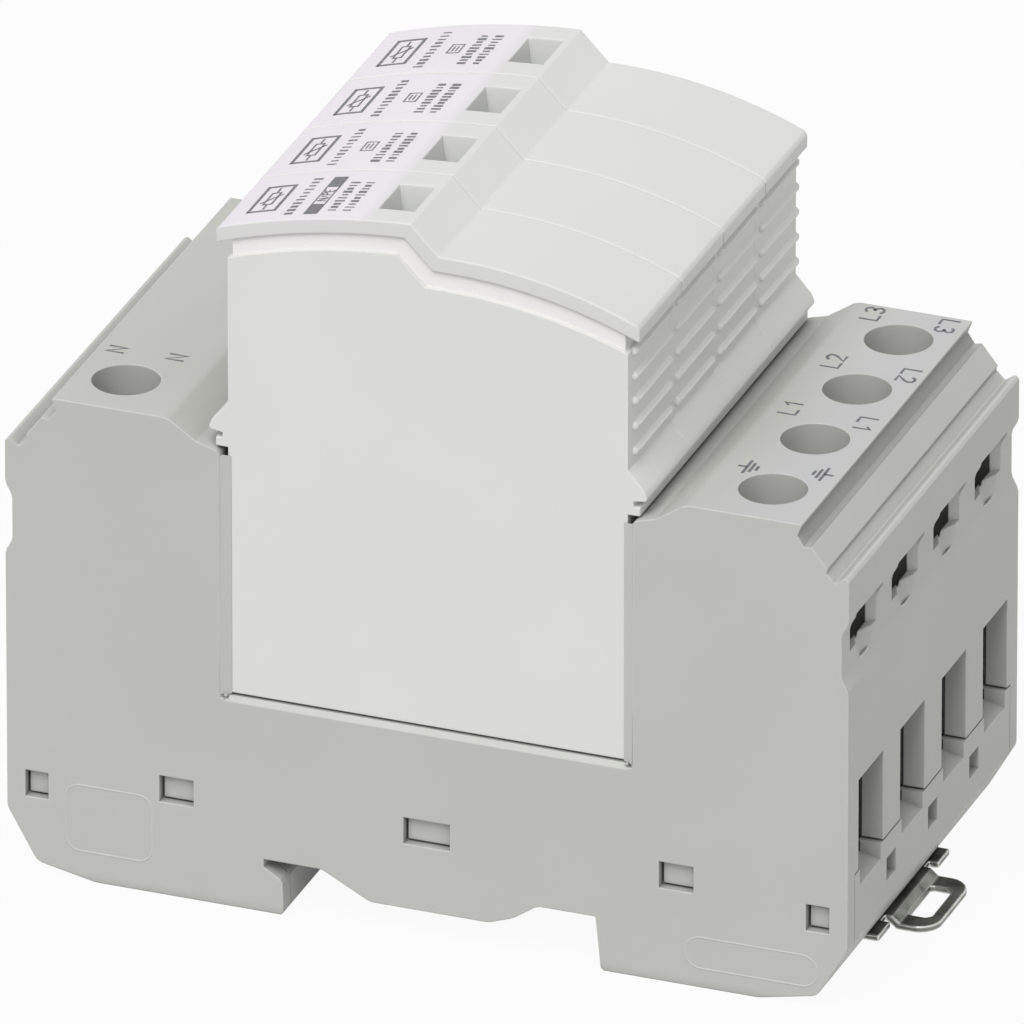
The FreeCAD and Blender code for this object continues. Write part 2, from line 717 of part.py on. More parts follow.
def jaw_outline(y):
    """End view of a contact jaw: a strip bent into two springy leaves."""
    base = BAR_Z + BAR
    grip = BLADE / 2 + FIT
    pinch = base + JAW_RISE - JAW_FLARE
    top = base + JAW_RISE
    right = [
        (JAW_HALF, base), (JAW_HALF, base + JAW_WAIST), (grip + JAW_SHEET, pinch),
        (grip + JAW_SHEET + JAW_FLARE_OUT, top), (grip + JAW_FLARE_OUT, top), (grip, pinch),
        (JAW_HALF - JAW_SHEET, base + JAW_WAIST), (JAW_HALF - JAW_SHEET, base + JAW_SHEET),
    ]
    return [(y + p[0],) + tuple(p[1:]) for p in right + mirrored(right)]


def make_jaws():
    """A contact jaw under each blade."""
    for i in range(MODULES):
        for word, x in (("left", -BLADE_X), ("right", BLADE_X)):
            jaw = slab_yz(jaw_outline(module_y(i)), x - JAW_LENGTH / 2, x + JAW_LENGTH / 2)
            keep(f"contact_{word}_{i + 1}", jaw)


def make_clamps():
    """Clamp cage round each busbar tongue, and the screw that draws it up."""
    half_y = (MODULE_PITCH - PARTITION) / 2 - CAGE_PLAY
    inside = half_y - CAGE_SIDE
    head_low = TONGUE_Z + BAR + CAGE_GAP
    head_top = head_low + CAGE_HEAD
    tip_z = TONGUE_Z + BAR + FIT
    screw_head_z = head_top + CAGE_TRAVEL + HEAD_GAP
    top = screw_head_z + HEAD_HEIGHT
    drive = (top - DRIVE_DEPTH, top + PAST)
    for name, side, index in terminals():
        x, y = side * TERMINAL_X, module_y(index)
        outer = slab_yz([
            (y - half_y, CAGE_FLOOR_Z, -CAGE_CORNER), (y + half_y, CAGE_FLOOR_Z, -CAGE_CORNER),
            (y + half_y, head_top, -CAGE_CORNER), (y - half_y, head_top, -CAGE_CORNER)],
            x - CAGE_LENGTH / 2, x + CAGE_LENGTH / 2)
        window = block(x - CAGE_LENGTH, x + CAGE_LENGTH, y - inside, y + inside,
                       CAGE_FLOOR_Z + CAGE_FLOOR, head_low)
        thread = post_z(x, y, head_low - PAST, head_top + PAST, SCREW_R + THREAD_PLAY)
        keep("clamp_cage_" + name, cut_all(outer, [window, thread]))
        shank = post_z(x, y, tip_z, screw_head_z + SINK, SCREW_R)
        head = post_z(x, y, screw_head_z, top, HEAD_R)
        slots = [block(x - run / 2, x + run / 2, y - wide / 2, y + wide / 2, *drive)
                 for run, wide in ((DRIVE_LONG, DRIVE_WIDTH), (DRIVE_WIDTH, DRIVE_SHORT))]
        keep("clamp_screw_" + name, cut_all(fused([shank, head]), slots))


# Plugs

def crown_edges(drop, y):
    """Top line of a plug, a drop below the cap's top: two gentle arcs and the step between."""
    shift = drop * math.tan(math.radians(STEP_SLOPE / 2))
    crest, step = CREST_X - shift, STEP_X - shift
    left = Part.Arc(Vec(-CAP_HALF, y, LEFT_EAVE_Z - drop),
                    Vec((crest - CAP_HALF) / 2, y, (LEFT_EAVE_Z + CREST_Z) / 2 + LEFT_BULGE - drop),
                    Vec(crest, y, CREST_Z - drop))
    right = Part.Arc(Vec(step, y, STEP_Z - drop),
                     Vec((step + CAP_HALF) / 2, y, (STEP_Z + RIGHT_EAVE_Z) / 2 + RIGHT_BULGE - drop),
                     Vec(CAP_HALF, y, RIGHT_EAVE_Z - drop))
    between = Part.LineSegment(left.EndPoint, right.StartPoint)
    return [left.toShape(), between.toShape(), right.toShape()]


def under_crown(drop, half, y0, y1, floor):
    """Solid from a flat floor up to a plug's top line, cut off square at both ends."""
    corners = [Vec(CAP_HALF, y0, RIGHT_EAVE_Z - drop), Vec(CAP_HALF, y0, floor),
               Vec(-CAP_HALF, y0, floor), Vec(-CAP_HALF, y0, LEFT_EAVE_Z - drop)]
    below = [Part.LineSegment(a, b).toShape() for a, b in zip(corners, corners[1:])]
    whole = Part.Face(Part.Wire(crown_edges(drop, y0) + below)).extrude(Vec(0, y1 - y0, 0))
    return whole if half >= CAP_HALF else whole.common(block(-half, half, y0, y1, floor, CREST_Z))


def grip(side, y):
    """Grip ribs, the finger flange and the collar below it on one end of a plug."""
    wall = PLUG_HALF_X
    out = wall + FLANGE_REACH
    neck = wall + NECK_REACH
    collar = wall + COLLAR_REACH
    outlines = [[
        (wall - SINK, FLANGE_TOP_Z + SINK), (wall, FLANGE_TOP_Z, -FLANGE_EDGE), (out, FLANGE_Z, -FLANGE_EDGE),
        (out, FLANGE_LOW_Z, -SMALL_EDGE), (neck, FLANGE_LOW_Z - NECK_RISE), (neck, COLLAR_TOP_Z),
        (collar, COLLAR_TOP_Z), (collar, COLLAR_LOW_Z), (wall - SINK, COLLAR_LOW_Z)]]
    for i in range(GRIP_RIBS):
        z = GRIP_LOW_Z + i * GRIP_PITCH
        foot, face = GRIP_FOOT / 2, GRIP_FACE / 2
        outlines.append([(wall - SINK, z - foot), (wall, z - foot), (wall + GRIP_OUT, z - face),
                         (wall + GRIP_OUT, z + face), (wall, z + foot), (wall - SINK, z + foot)])
    starts = [y - PLUG_HALF_Y] + [y - MODULE_PITCH / 2 + GRIP_MARGIN] * GRIP_RIBS
    if side < 0:
        outlines = [mirrored(outline) for outline in outlines]
    return [slab_xz(outline, start, y + PLUG_HALF_Y) for outline, start in zip(outlines, starts)]


def make_plug_body(index):
    """Open topped plug case with band, grips, floor slots and hollow inside."""
    y = module_y(index)
    low, high = y - PLUG_HALF_Y, y + PLUG_HALF_Y
    floor = PLUG_BASE_Z + PLUG_FLOOR
    case = under_crown(CAP_SKIN + BAND, PLUG_HALF_X, low, high, PLUG_BASE_Z)
    rim = under_crown(CAP_SKIN, PLUG_HALF_X - BAND_STEP, low + BAND_STEP, high - BAND_STEP, floor)
    solid = fused([case, rim] + grip(-1, y) + grip(1, y))
    tools = [under_crown(0, PLUG_HALF_X - PLUG_WALL, low + PLUG_WALL, high - PLUG_WALL, floor)]
    half_x, half_y = BLADE_WIDTH / 2 + FIT, BLADE / 2 + FIT
    for x in (-BLADE_X, BLADE_X):
        tools.append(block(x - half_x, x + half_x, y - half_y, y + half_y, PLUG_BASE_Z - PAST, floor + PAST))
    keep(f"plug_body_{index + 1}", cut_all(solid, tools))


def funnel(y, skin):
    """Tapered status window of a cap, grown by a skin all round."""
    rings = []
    for z, inset in ((FLAG_Z + FLAG_SHEET + FLAG_PLAY, FUNNEL_TAPER), (CREST_Z, 0)):
        half_x = WINDOW_LENGTH / 2 - inset + skin
        half_y = WINDOW_WIDTH / 2 - inset + skin
        rings.append([Vec(WINDOW_X + a * half_x, y + b * half_y, z)
                      for a, b in ((-1, -1), (1, -1), (1, 1), (-1, 1))])
    low, high = rings
    sides = [[low[i - 1], low[i], high[i], high[i - 1]] for i in range(len(low))]
    faces = [Part.Face(Part.makePolygon(side + side[:1])) for side in [low, high] + sides]
    return Part.makeSolid(Part.makeShell(faces))


def make_plug_cap(index):
    """Cap with its eaves, the spigot inside the case and the status window."""
    y = module_y(index)
    low, high = y - PLUG_HALF_Y, y + PLUG_HALF_Y
    floor = PLUG_BASE_Z
    lid = under_crown(0, CAP_HALF, low, high, floor)
    eaves = [edge for edge in lid.Edges
             if edge.BoundBox.ZMin > floor + PAST and abs(edge.BoundBox.Center.x) > CAP_HALF - SINK]
    under_skin = under_crown(CAP_SKIN, CAP_HALF, low - PAST, high + PAST, floor - PAST)
    lid = lid.makeChamfer(CAP_EDGE, eaves).cut(under_skin)
    inner = PLUG_HALF_X - PLUG_WALL - FIT
    wall = PLUG_WALL + FIT
    core = wall + SPIGOT_WALL
    spigot = under_crown(CAP_SKIN - BAND_STEP, inner, low + wall, high - wall, floor)
    hollow = under_crown(CAP_SKIN, inner - SPIGOT_WALL, low + core, high - core, floor - PAST)
    drop = CAP_SKIN + SPIGOT
    below = slab_xz([(-CAP_HALF, floor - PAST), (CAP_HALF, floor - PAST), (CAP_HALF, RIGHT_EAVE_Z - drop),
                     (STEP_X, STEP_Z - drop), (CREST_X, CREST_Z - drop), (-CAP_HALF, LEFT_EAVE_Z - drop)],
                    low - PAST, high + PAST)
    tube = funnel(y, FUNNEL_SKIN).common(under_crown(CAP_SKIN - BAND_STEP, inner, low, high, floor))
    cap = fused([lid, cut_all(spigot, [hollow, below]), tube])
    keep(f"plug_cap_{index + 1}", cut_all(cap, [funnel(y, 0)]))


def make_blades(index):
    """The two contact blades of one plug, with the heads that carry its element."""
    y = module_y(index)
    floor = PLUG_BASE_Z + PLUG_FLOOR
    tip = PLUG_BASE_Z - BLADE_REACH
    for word, x in (("left", -BLADE_X), ("right", BLADE_X)):
        left, right = x - BLADE_WIDTH / 2, x + BLADE_WIDTH / 2
        strip = slab_xz([(left, tip, -BLADE_TIP), (right, tip, -BLADE_TIP),
                         (right, floor + FIT), (left, floor + FIT)], y - BLADE / 2, y + BLADE / 2)
        head = block(x - BLADE_HEAD_LENGTH / 2, x + BLADE_HEAD_LENGTH / 2,
                     y - BLADE_HEAD_WIDTH / 2, y + BLADE_HEAD_WIDTH / 2, floor, ELEMENT_Z)
        keep(f"blade_{word}_{index + 1}", fused([strip, head]))


def make_gas_tube(index):
    """Gas tube on two leads in a frame, in the plug between neutral and earth."""
    y = module_y(index)
    half = ELEMENT_LENGTH / 2
    tube_z = ELEMENT_Z + TUBE_R + TUBE_LIFT
    sole = tube_z + TUBE_R - TUBE_LIFT
    pieces = [Part.makeCylinder(TUBE_R, TUBE_LENGTH, Vec(-TUBE_LENGTH / 2, y, tube_z), Vec(1, 0, 0))]
    for side in (-1, 1):
        pieces.append(block(side * (TUBE_LENGTH / 2 - SINK), side * half,
                            y - TUBE_LEAD / 2, y + TUBE_LEAD / 2, ELEMENT_Z, sole + SINK))
    pieces.append(block(-half, half, y - VARISTOR_THICK / 2, y + VARISTOR_THICK / 2, sole, ELEMENT_TOP_Z))
    keep(f"gas_tube_{index + 1}", fused(pieces))


def make_varistor(index):
    """Coated varistor block of a line plug."""
    y = module_y(index)
    half, cut = ELEMENT_LENGTH / 2, -VARISTOR_CORNER
    outline = [(-half, ELEMENT_Z, cut), (half, ELEMENT_Z, cut),
               (half, ELEMENT_TOP_Z, cut), (-half, ELEMENT_TOP_Z, cut)]
    keep(f"varistor_{index + 1}", slab_xz(outline, y - VARISTOR_THICK / 2, y + VARISTOR_THICK / 2))


def make_flag(index):
    """Status flag under the window, with two legs that stand over the element."""
    y = module_y(index)
    low, high = y - FLAG_WIDTH / 2, y + FLAG_WIDTH / 2
    right = WINDOW_X + WINDOW_LENGTH / 2 + FLAG_PLAY
    left = WINDOW_X - WINDOW_LENGTH / 2 - FLAG_PLAY - FLAG_TRAVEL
    plate = block(left, right, low, high, FLAG_Z, FLAG_Z + FLAG_SHEET)
    legs = [block(x0, x0 + FLAG_LEG, low, high, ELEMENT_TOP_Z + FLAG_PLAY, FLAG_Z + FLAG_SHEET / 2)
            for x0 in (left, right - FLAG_LEG)]
    keep(f"status_flag_{index + 1}", fused([plate] + legs))


def main():
    """Build every piece and write one file for each."""
    os.makedirs("parts", exist_ok=True)
    make_shell()
    make_tray()
    make_latch()
    make_busbars()
    make_jaws()
    make_clamps()
    for index in range(MODULES):
        make_plug_body(index)
        make_plug_cap(index)
        make_blades(index)
        if index == 0:
            make_gas_tube(index)
        else:
            make_varistor(index)
        make_flag(index)
    for name, shape in SHAPES.items():
        shape.exportStep(f"parts/{name}.step")
        print(name, len(shape.Solids), round(shape.Volume, 1), shape.isValid())


main()
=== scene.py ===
"""Surge protective device: finishes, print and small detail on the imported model."""

import json
import logging
import math
from dataclasses import dataclass, field
from enum import Enum

import bmesh
import bpy
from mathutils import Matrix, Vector

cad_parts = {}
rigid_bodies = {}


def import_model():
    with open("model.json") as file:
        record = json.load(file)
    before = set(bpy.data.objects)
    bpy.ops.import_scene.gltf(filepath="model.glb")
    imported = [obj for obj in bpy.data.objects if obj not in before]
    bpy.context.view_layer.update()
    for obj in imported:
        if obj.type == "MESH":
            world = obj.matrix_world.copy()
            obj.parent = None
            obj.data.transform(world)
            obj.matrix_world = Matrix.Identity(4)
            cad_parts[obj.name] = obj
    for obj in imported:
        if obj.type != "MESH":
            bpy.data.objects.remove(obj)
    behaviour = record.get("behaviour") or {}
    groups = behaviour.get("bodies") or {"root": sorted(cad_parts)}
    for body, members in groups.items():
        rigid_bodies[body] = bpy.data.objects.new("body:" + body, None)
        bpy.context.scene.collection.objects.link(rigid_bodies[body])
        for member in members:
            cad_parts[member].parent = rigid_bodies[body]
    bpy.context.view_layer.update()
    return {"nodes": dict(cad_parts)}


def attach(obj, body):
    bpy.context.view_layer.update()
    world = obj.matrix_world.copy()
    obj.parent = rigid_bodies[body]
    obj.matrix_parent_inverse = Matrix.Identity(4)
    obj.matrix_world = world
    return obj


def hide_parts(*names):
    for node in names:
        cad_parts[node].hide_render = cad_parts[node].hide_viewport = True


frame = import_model()
MM = 0.001
WELD = 2e-6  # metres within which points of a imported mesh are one
FLAT_ANGLE, EDGE_ANGLE, SHARP_ANGLE = 0.4, 28, 50  # degrees between faces: joined, rounded, shaded apart
EDGE_SAMPLES, CREVICE_SAMPLES = 6, 8
SAME_NORMAL = 0.997  # likeness of the rounded and the plain normal on flat faces
RAY_START, RAY_LENGTH = (0, 0, 0.02), 0.1  # metres above the print, and down to the caps
log = logging.getLogger("device")

Pair = tuple[float, float]
Triple = tuple[float, float, float]
Point = tuple[float, float]
Stroke = list[Point]
Bar = tuple[float, float, float, float]
Links = dict[object, object] | None


# Nodes and objects

def add_node(tree: bpy.types.NodeTree, kind: str, links: Links = None,
             **settings: object) -> bpy.types.Node:
    """Add a node to a tree.

    Args:
        tree: Tree of a material, the world or a recipe.
        kind: Full node type.
        links: Sockets or plain values for inputs, by name or number.
        settings: Attributes of the node itself.

    Returns:
        The new node.
    """
    node = tree.nodes.new(kind)
    for key, value in settings.items():
        setattr(node, key, value)
    for key, value in (links or {}).items():
        if isinstance(value, bpy.types.NodeSocket):
            tree.links.new(value, node.inputs[key])
        else:
            node.inputs[key].default_value = value
    return node


def placed(name: str, data: bpy.types.ID) -> bpy.types.Object:
    """New object of the scene.

    Args:
        name: Name of the object.
        data: Mesh, lamp or camera that it holds.

    Returns:
        The object.
    """
    thing = bpy.data.objects.new(name, data)
    bpy.context.collection.objects.link(thing)
    return thing


def evaluated(source: bpy.types.Object) -> bpy.types.Mesh:
    """Plain mesh of an object with its modifiers applied."""
    graph = bpy.context.evaluated_depsgraph_get()
    return bpy.data.meshes.new_from_object(source.evaluated_get(graph))


# Finishes

class Graph:
    """Node tree of one material, with short ways to add and join nodes."""

    def __init__(self, name: str) -> None:
        """Start an empty material with a Principled shader on its output.

        Args:
            name: Name of the material.
        """
        self.material = bpy.data.materials.new(name)
        self.material.use_nodes = True
        self.tree = self.material.node_tree
        self.tree.nodes.clear()
        self.output = self.tree.nodes.new("ShaderNodeOutputMaterial")
        self.shader = self.tree.nodes.new("ShaderNodeBsdfPrincipled")
        self.tree.links.new(self.shader.outputs[0], self.output.inputs["Surface"])
        self.coords = self.tree.nodes.new("ShaderNodeTexCoord").outputs["Object"]

    def add(self, kind: str, links: Links = None, **settings: object) -> bpy.types.Node:
        """Add a shader node; its type is given without the ShaderNode prefix."""
        return add_node(self.tree, "ShaderNode" + kind, links, **settings)

    def feed(self, name: str, value: object) -> None:
        """Join a socket to an input of the shader."""
        self.tree.links.new(value, self.shader.inputs[name])

    def noise(self, scale: float, detail: float = 2.0, stretch: Triple = (1, 1, 1)) -> object:
        """Noise value over the object's own coordinates.

        Args:
            scale: Cells per metre.
            detail: Octaves of finer noise.
            stretch: Scale along each axis, for streaks.

        Returns:
            The value socket.
        """
        place = self.add("Mapping", {"Vector": self.coords, "Scale": stretch})
        links = {"Vector": place.outputs[0], "Scale": scale, "Detail": detail}
        return self.add("TexNoise", links).outputs["Fac"]

    def spread(self, value: object, low: float, high: float, start: float = 0.3,
               end: float = 0.7) -> object:
        """Value stretched from a source range to low..high.

        Args:
            value: Socket to stretch.
            low: Result at the range's start.
            high: Result at the range's end.
            start: Source value that gives low.
            end: Source value that gives high.

        Returns:
            The stretched socket.
        """
        links = {"Value": value, "From Min": start, "From Max": end, "To Min": low, "To Max": high}
        return self.add("MapRange", links).outputs[0]

    def mix(self, factor: object, first: object, second: object, blend: str = "MIX") -> object:
        """Blend of two colours.

        Args:
            factor: Share of the second, as a socket or number.
            first: Colour or socket.
            second: Colour or socket.
            blend: Way of blending.

        Returns:
            The blended colour socket.
        """
        links = {0: factor, 6: first, 7: second}
        return self.add("Mix", links, data_type="RGBA", blend_type=blend).outputs[2]

    def product(self, first: object, second: object) -> object:
        """Product of two values."""
        return self.add("Math", {0: first, 1: second}, operation="MULTIPLY").outputs[0]

    def scaled(self, colour: object, share: object) -> object:
        """Colour times a value."""
        return self.add("VectorMath", {0: colour, "Scale": share}, operation="SCALE").outputs[0]

    def likeness(self, direction: object) -> object:
        """How far the plain normal agrees with a direction: 1 where they are the same."""
        flat = self.add("NewGeometry").outputs["Normal"]
        return self.add("VectorMath", {0: flat, 1: direction}, operation="DOT_PRODUCT").outputs["Value"]

    def between(self, axis: str, low: float, high: float, soft: float) -> object:
        """Mask that is 1 where an object coordinate lies between two values.

        Args:
            axis: X, Y or Z.
            low: Lower edge, in millimetres.
            high: Upper edge, in millimetres.
            soft: Width of the soft edge, in millimetres.

        Returns:
            The mask socket.
        """
        value = self.add("SeparateXYZ", {0: self.coords}).outputs[axis]
        rise = self.spread(value, 0, 1, (low - soft) * MM, (low + soft) * MM)
        fall = self.spread(value, 1, 0, (high - soft) * MM, (high + soft) * MM)
        return self.product(rise, fall)

    def open_share(self, reach: float) -> object:
        """How open a place is: 1 on free faces, towards 0 deep in grooves and slots.

        Args:
            reach: How far to look for walls, in millimetres.

        Returns:
            The value socket.
        """
        return self.add("AmbientOcclusion", {"Distance": reach * MM}, samples=CREVICE_SAMPLES).outputs["AO"]

    def rounded(self, radius: float) -> object:
        """Normal that runs softly round edges, over a radius in millimetres."""
        return self.add("Bevel", {"Radius": radius * MM}, samples=EDGE_SAMPLES).outputs[0]

    def highlight_edge(self, radius: float, full: float = 0.90) -> object:
        """Mask that is 1 along outer edges and 0 on flat faces, for painted highlights.

        Args:
            radius: Width of the highlight line, in millimetres.
            full: Likeness of the rounded and the plain normal where the mask is full.

        Returns:
            The mask socket.
        """
        return self.spread(self.likeness(self.rounded(radius)), 1, 0, full, SAME_NORMAL)

    def surface(self, grain: object, strength: float, depth: float, edge: float) -> None:
        """Bump from a grain over softly rounded edges.

        Args:
            grain: Height socket.
            strength: Strength of the bump.
            depth: Height of the bump, in millimetres.
            edge: Radius that edges seem to have, in millimetres.
        """
        links = {"Height": grain, "Strength": strength, "Distance": depth * MM}
        if edge > 0:
            links["Normal"] = self.rounded(edge)
        bump = self.add("Bump", links)
        self.feed("Normal", bump.outputs[0])


def grey(red: float, green: float, blue: float) -> tuple[float, float, float, float]:
    """Colour from linear parts."""
    return (red, green, blue, 1.0)


@dataclass(frozen=True)
class Patch:
    """Area of a finish with another tone, by its place and by the way that its faces look; some patches are
    painted shade and some painted light.
    """

    colour: Triple
    spans: tuple[tuple[str, float, float], ...]
    facing: Triple
    start: float
    full: float
    soft: float = 0.05

    def lay(self, graph: Graph, base: object) -> object:
        """Colour with the patch laid over it.

        Args:
            graph: Graph of the material.
            base: Colour socket or plain colour under the patch.

        Returns:
            The colour socket.
        """
        mask = graph.spread(graph.likeness(self.facing), 0, 1, self.start, self.full)
        for axis, low, high in self.spans:
            mask = graph.product(mask, graph.between(axis, low, high, self.soft))
        return graph.mix(mask, base, grey(*self.colour))


@dataclass(frozen=True)
class Moulded:
    """Moulded plastic: fine grain, slight mottle, softly rounded edges, painted shade in grooves, optional
    painted edge highlight.
    """

    name: str
    colour: Triple
    mottle: float = 0.05
    warmth: float = 0.995
    grain: float = 0.30
    grain_depth: float = 0.03
    roughness: Pair = (0.42, 0.56)
    specular: float = 0.35
    edge: float = 0.22
    # Share of the colour left deep in grooves and slots, and how far to look for walls: painted shade.
    crevice_shade: float = 0.55
    reach: float = 2.2
    # Colour and width of a painted highlight along outer edges.
    rim: Triple | None = None
    highlight_width: float = 0.2
    patches: tuple[Patch, ...] = ()

    def build(self) -> bpy.types.Material:
        """Material with its nodes.

        Returns:
            The material.
        """
        graph = Graph(self.name)
        base: object = grey(*self.colour)
        for patch in self.patches:
            base = patch.lay(graph, base)
        shade = 1 - self.mottle
        dark = graph.mix(1.0, base, grey(shade, shade, shade * self.warmth), "MULTIPLY")
        colour = graph.mix(graph.spread(graph.noise(55, 3), 0, 1), base, dark)
        free = graph.open_share(self.reach)
        # Painted highlight: lighter colour along outer edges in open places.
        if self.rim is not None:
            outer = graph.spread(free, 0, 1, 0.85, 0.98)
            edge = graph.product(graph.highlight_edge(self.highlight_width), outer)
            colour = graph.mix(edge, colour, grey(*self.rim))
        # Painted shade: colour darkened by how enclosed the place is.
        depth = graph.spread(free, self.crevice_shade, 1, 0.15, 0.75)
        graph.feed("Base Color", graph.scaled(colour, depth))
        graph.feed("Roughness", graph.spread(graph.noise(3200, 2), *self.roughness))
        graph.shader.inputs["Specular IOR Level"].default_value = self.specular
        graph.surface(graph.noise(2400, 3), self.grain, self.grain_depth, self.edge)
        return graph.material


@dataclass(frozen=True)
class Metal:
    """Rolled or plated metal with streaks along one axis, small stains, optional painted shade in hollows
    and painted edge highlight.
    """

    name: str
    colour: Triple
    stain: Triple
    roughness: Pair = (0.25, 0.42)
    streak: Triple = (1.0, 12.0, 1.0)
    edge: float = 0.1
    # Colour and width of a painted highlight along outer edges.
    edge_highlight: Triple | None = None
    edge_highlight_width: float = 0.3
    # Share of the colour left deep in hollows, and how far to look: painted shade.
    hollow_shade: float = 1.0
    hollow_shade_reach: float = 9.0

    def build(self) -> bpy.types.Material:
        """Material with its nodes.

        Returns:
            The material.
        """
        graph = Graph(self.name)
        stains = graph.spread(graph.noise(420, 4), 0, 1, 0.42, 0.66)
        colour = graph.mix(stains, grey(*self.colour), grey(*self.stain))
        # Painted shade: colour darkened in hollows.
        if self.hollow_shade < 1:
            free = graph.open_share(self.hollow_shade_reach)
            colour = graph.scaled(colour, graph.spread(free, self.hollow_shade, 1, 0.45, 0.95))
        # Painted highlight: bright colour along outer edges.
        if self.edge_highlight is not None:
            colour = graph.mix(graph.highlight_edge(self.edge_highlight_width, 0.96), colour, grey(*self.edge_highlight))
        graph.feed("Base Color", colour)
        streaks = graph.noise(900, 3, self.streak)
        graph.feed("Roughness", graph.spread(streaks, *self.roughness))
        graph.shader.inputs["Metallic"].default_value = 1.0
        graph.surface(streaks, 0.12, 0.02, self.edge)
        return graph.material


@dataclass(frozen=True)
class Coated:
    """Dipped or glazed coat, glossy, with a slow ripple and fine pits."""

    name: str
    colour: Triple
    tint: Triple
    roughness: Pair = (0.18, 0.32)
    coat: float = 0.3
    ripple: float = 0.35
    ripple_depth: float = 0.12
    edge: float = 0.4

    def build(self) -> bpy.types.Material:
        """Material with its nodes.

        Returns:
            The material.
        """
        graph = Graph(self.name)
        ripple = graph.noise(160, 2)
        colour = graph.mix(graph.spread(ripple, 0, 1), grey(*self.colour), grey(*self.tint))
        graph.feed("Base Color", colour)
        graph.feed("Roughness", graph.spread(graph.noise(900, 3), *self.roughness))
        graph.shader.inputs["Coat Weight"].default_value = self.coat
        graph.surface(ripple, self.ripple, self.ripple_depth, self.edge)
        return graph.material


@dataclass(frozen=True)
class FlagStrip:
    """Indicator strip: one colour in service, another where it has shifted."""

    name: str
    service: Triple
    spent: Triple
    border: float
    far_end: float = -60.0
    dust: Triple = (0.8, 0.8, 0.76)

    def build(self) -> bpy.types.Material:
        """Material with its nodes.

        Returns:
            The material.
        """
        graph = Graph(self.name)
        side = graph.between("X", self.far_end, self.border, 0.05)
        speck = graph.spread(graph.noise(1500, 2), 0, 0.12)
        colour = graph.mix(side, grey(*self.service), grey(*self.spent))
        graph.feed("Base Color", graph.mix(speck, colour, grey(*self.dust)))
        graph.feed("Roughness", graph.spread(graph.noise(2000, 2), 0.35, 0.5))
        graph.surface(graph.noise(2600, 2), 0.2, 0.02, 0.1)
        return graph.material


@dataclass(frozen=True)
class Ink:
    """Pad printed ink, a little uneven in cover."""

    name: str
    colour: Triple
    thin: Triple

    def build(self) -> bpy.types.Material:
        """Material with its nodes.

        Returns:
            The material.
        """
        graph = Graph(self.name)
        cover = graph.spread(graph.noise(2600, 3), 0, 1, 0.35, 0.75)
        graph.feed("Base Color", graph.mix(cover, grey(*self.colour), grey(*self.thin)))
        graph.feed("Roughness", graph.spread(graph.noise(1800, 2), 0.4, 0.6))
        graph.surface(graph.noise(3000, 2), 0.15, 0.01, 0)
        return graph.material


UP, FRONT = (0, 0, 1), (0, -1, 0)
# Patches: colour, spans in millimetres, facing, where the facing starts to count and counts in full
MARK_STRIP = Patch((0.500, 0.500, 0.505), (("X", 32.0, 40.5),), UP, 0.75, 0.9, soft=2.0)
# Painted shade: darker inner wall of the marker groove.
MARKER_GROOVE_SHADE = Patch((0.340, 0.340, 0.335), (("X", 39.3, 41.2), ("Z", 45.2, 47.3)),
                      (0.7, 0, 0.7), 0.1, 0.3)
# Painted shade: near-black front-facing walls inside the wire entries.
ENTRY_SHADE = Patch((0.030, 0.030, 0.030), (("X", 30.0, 42.75), ("Y", -24.0, 25.0), ("Z", 5.0, 18.6)),
                    FRONT, 0.7, 0.9)
# Painted light: lighter band under the cap's eave, in place of its shadow.
CASE_BAND_LIGHT = Patch((0.807, 0.785, 0.790), (("Y", -23.75, -23.3),), FRONT, 0.7, 0.9)
CAP_LABEL = Patch((0.745, 0.702, 0.755), (("X", -24.0, -6.8),), UP, 0.75, 0.9, soft=0.8)
# Painted light: lighter sloped step on the cap, facing up towards the +X end.
CAP_STEP_LIGHT = Patch((0.710, 0.710, 0.706), (("X", -2.4, 1.8),), (0.707, 0, 0.707), 0.92, 0.98)


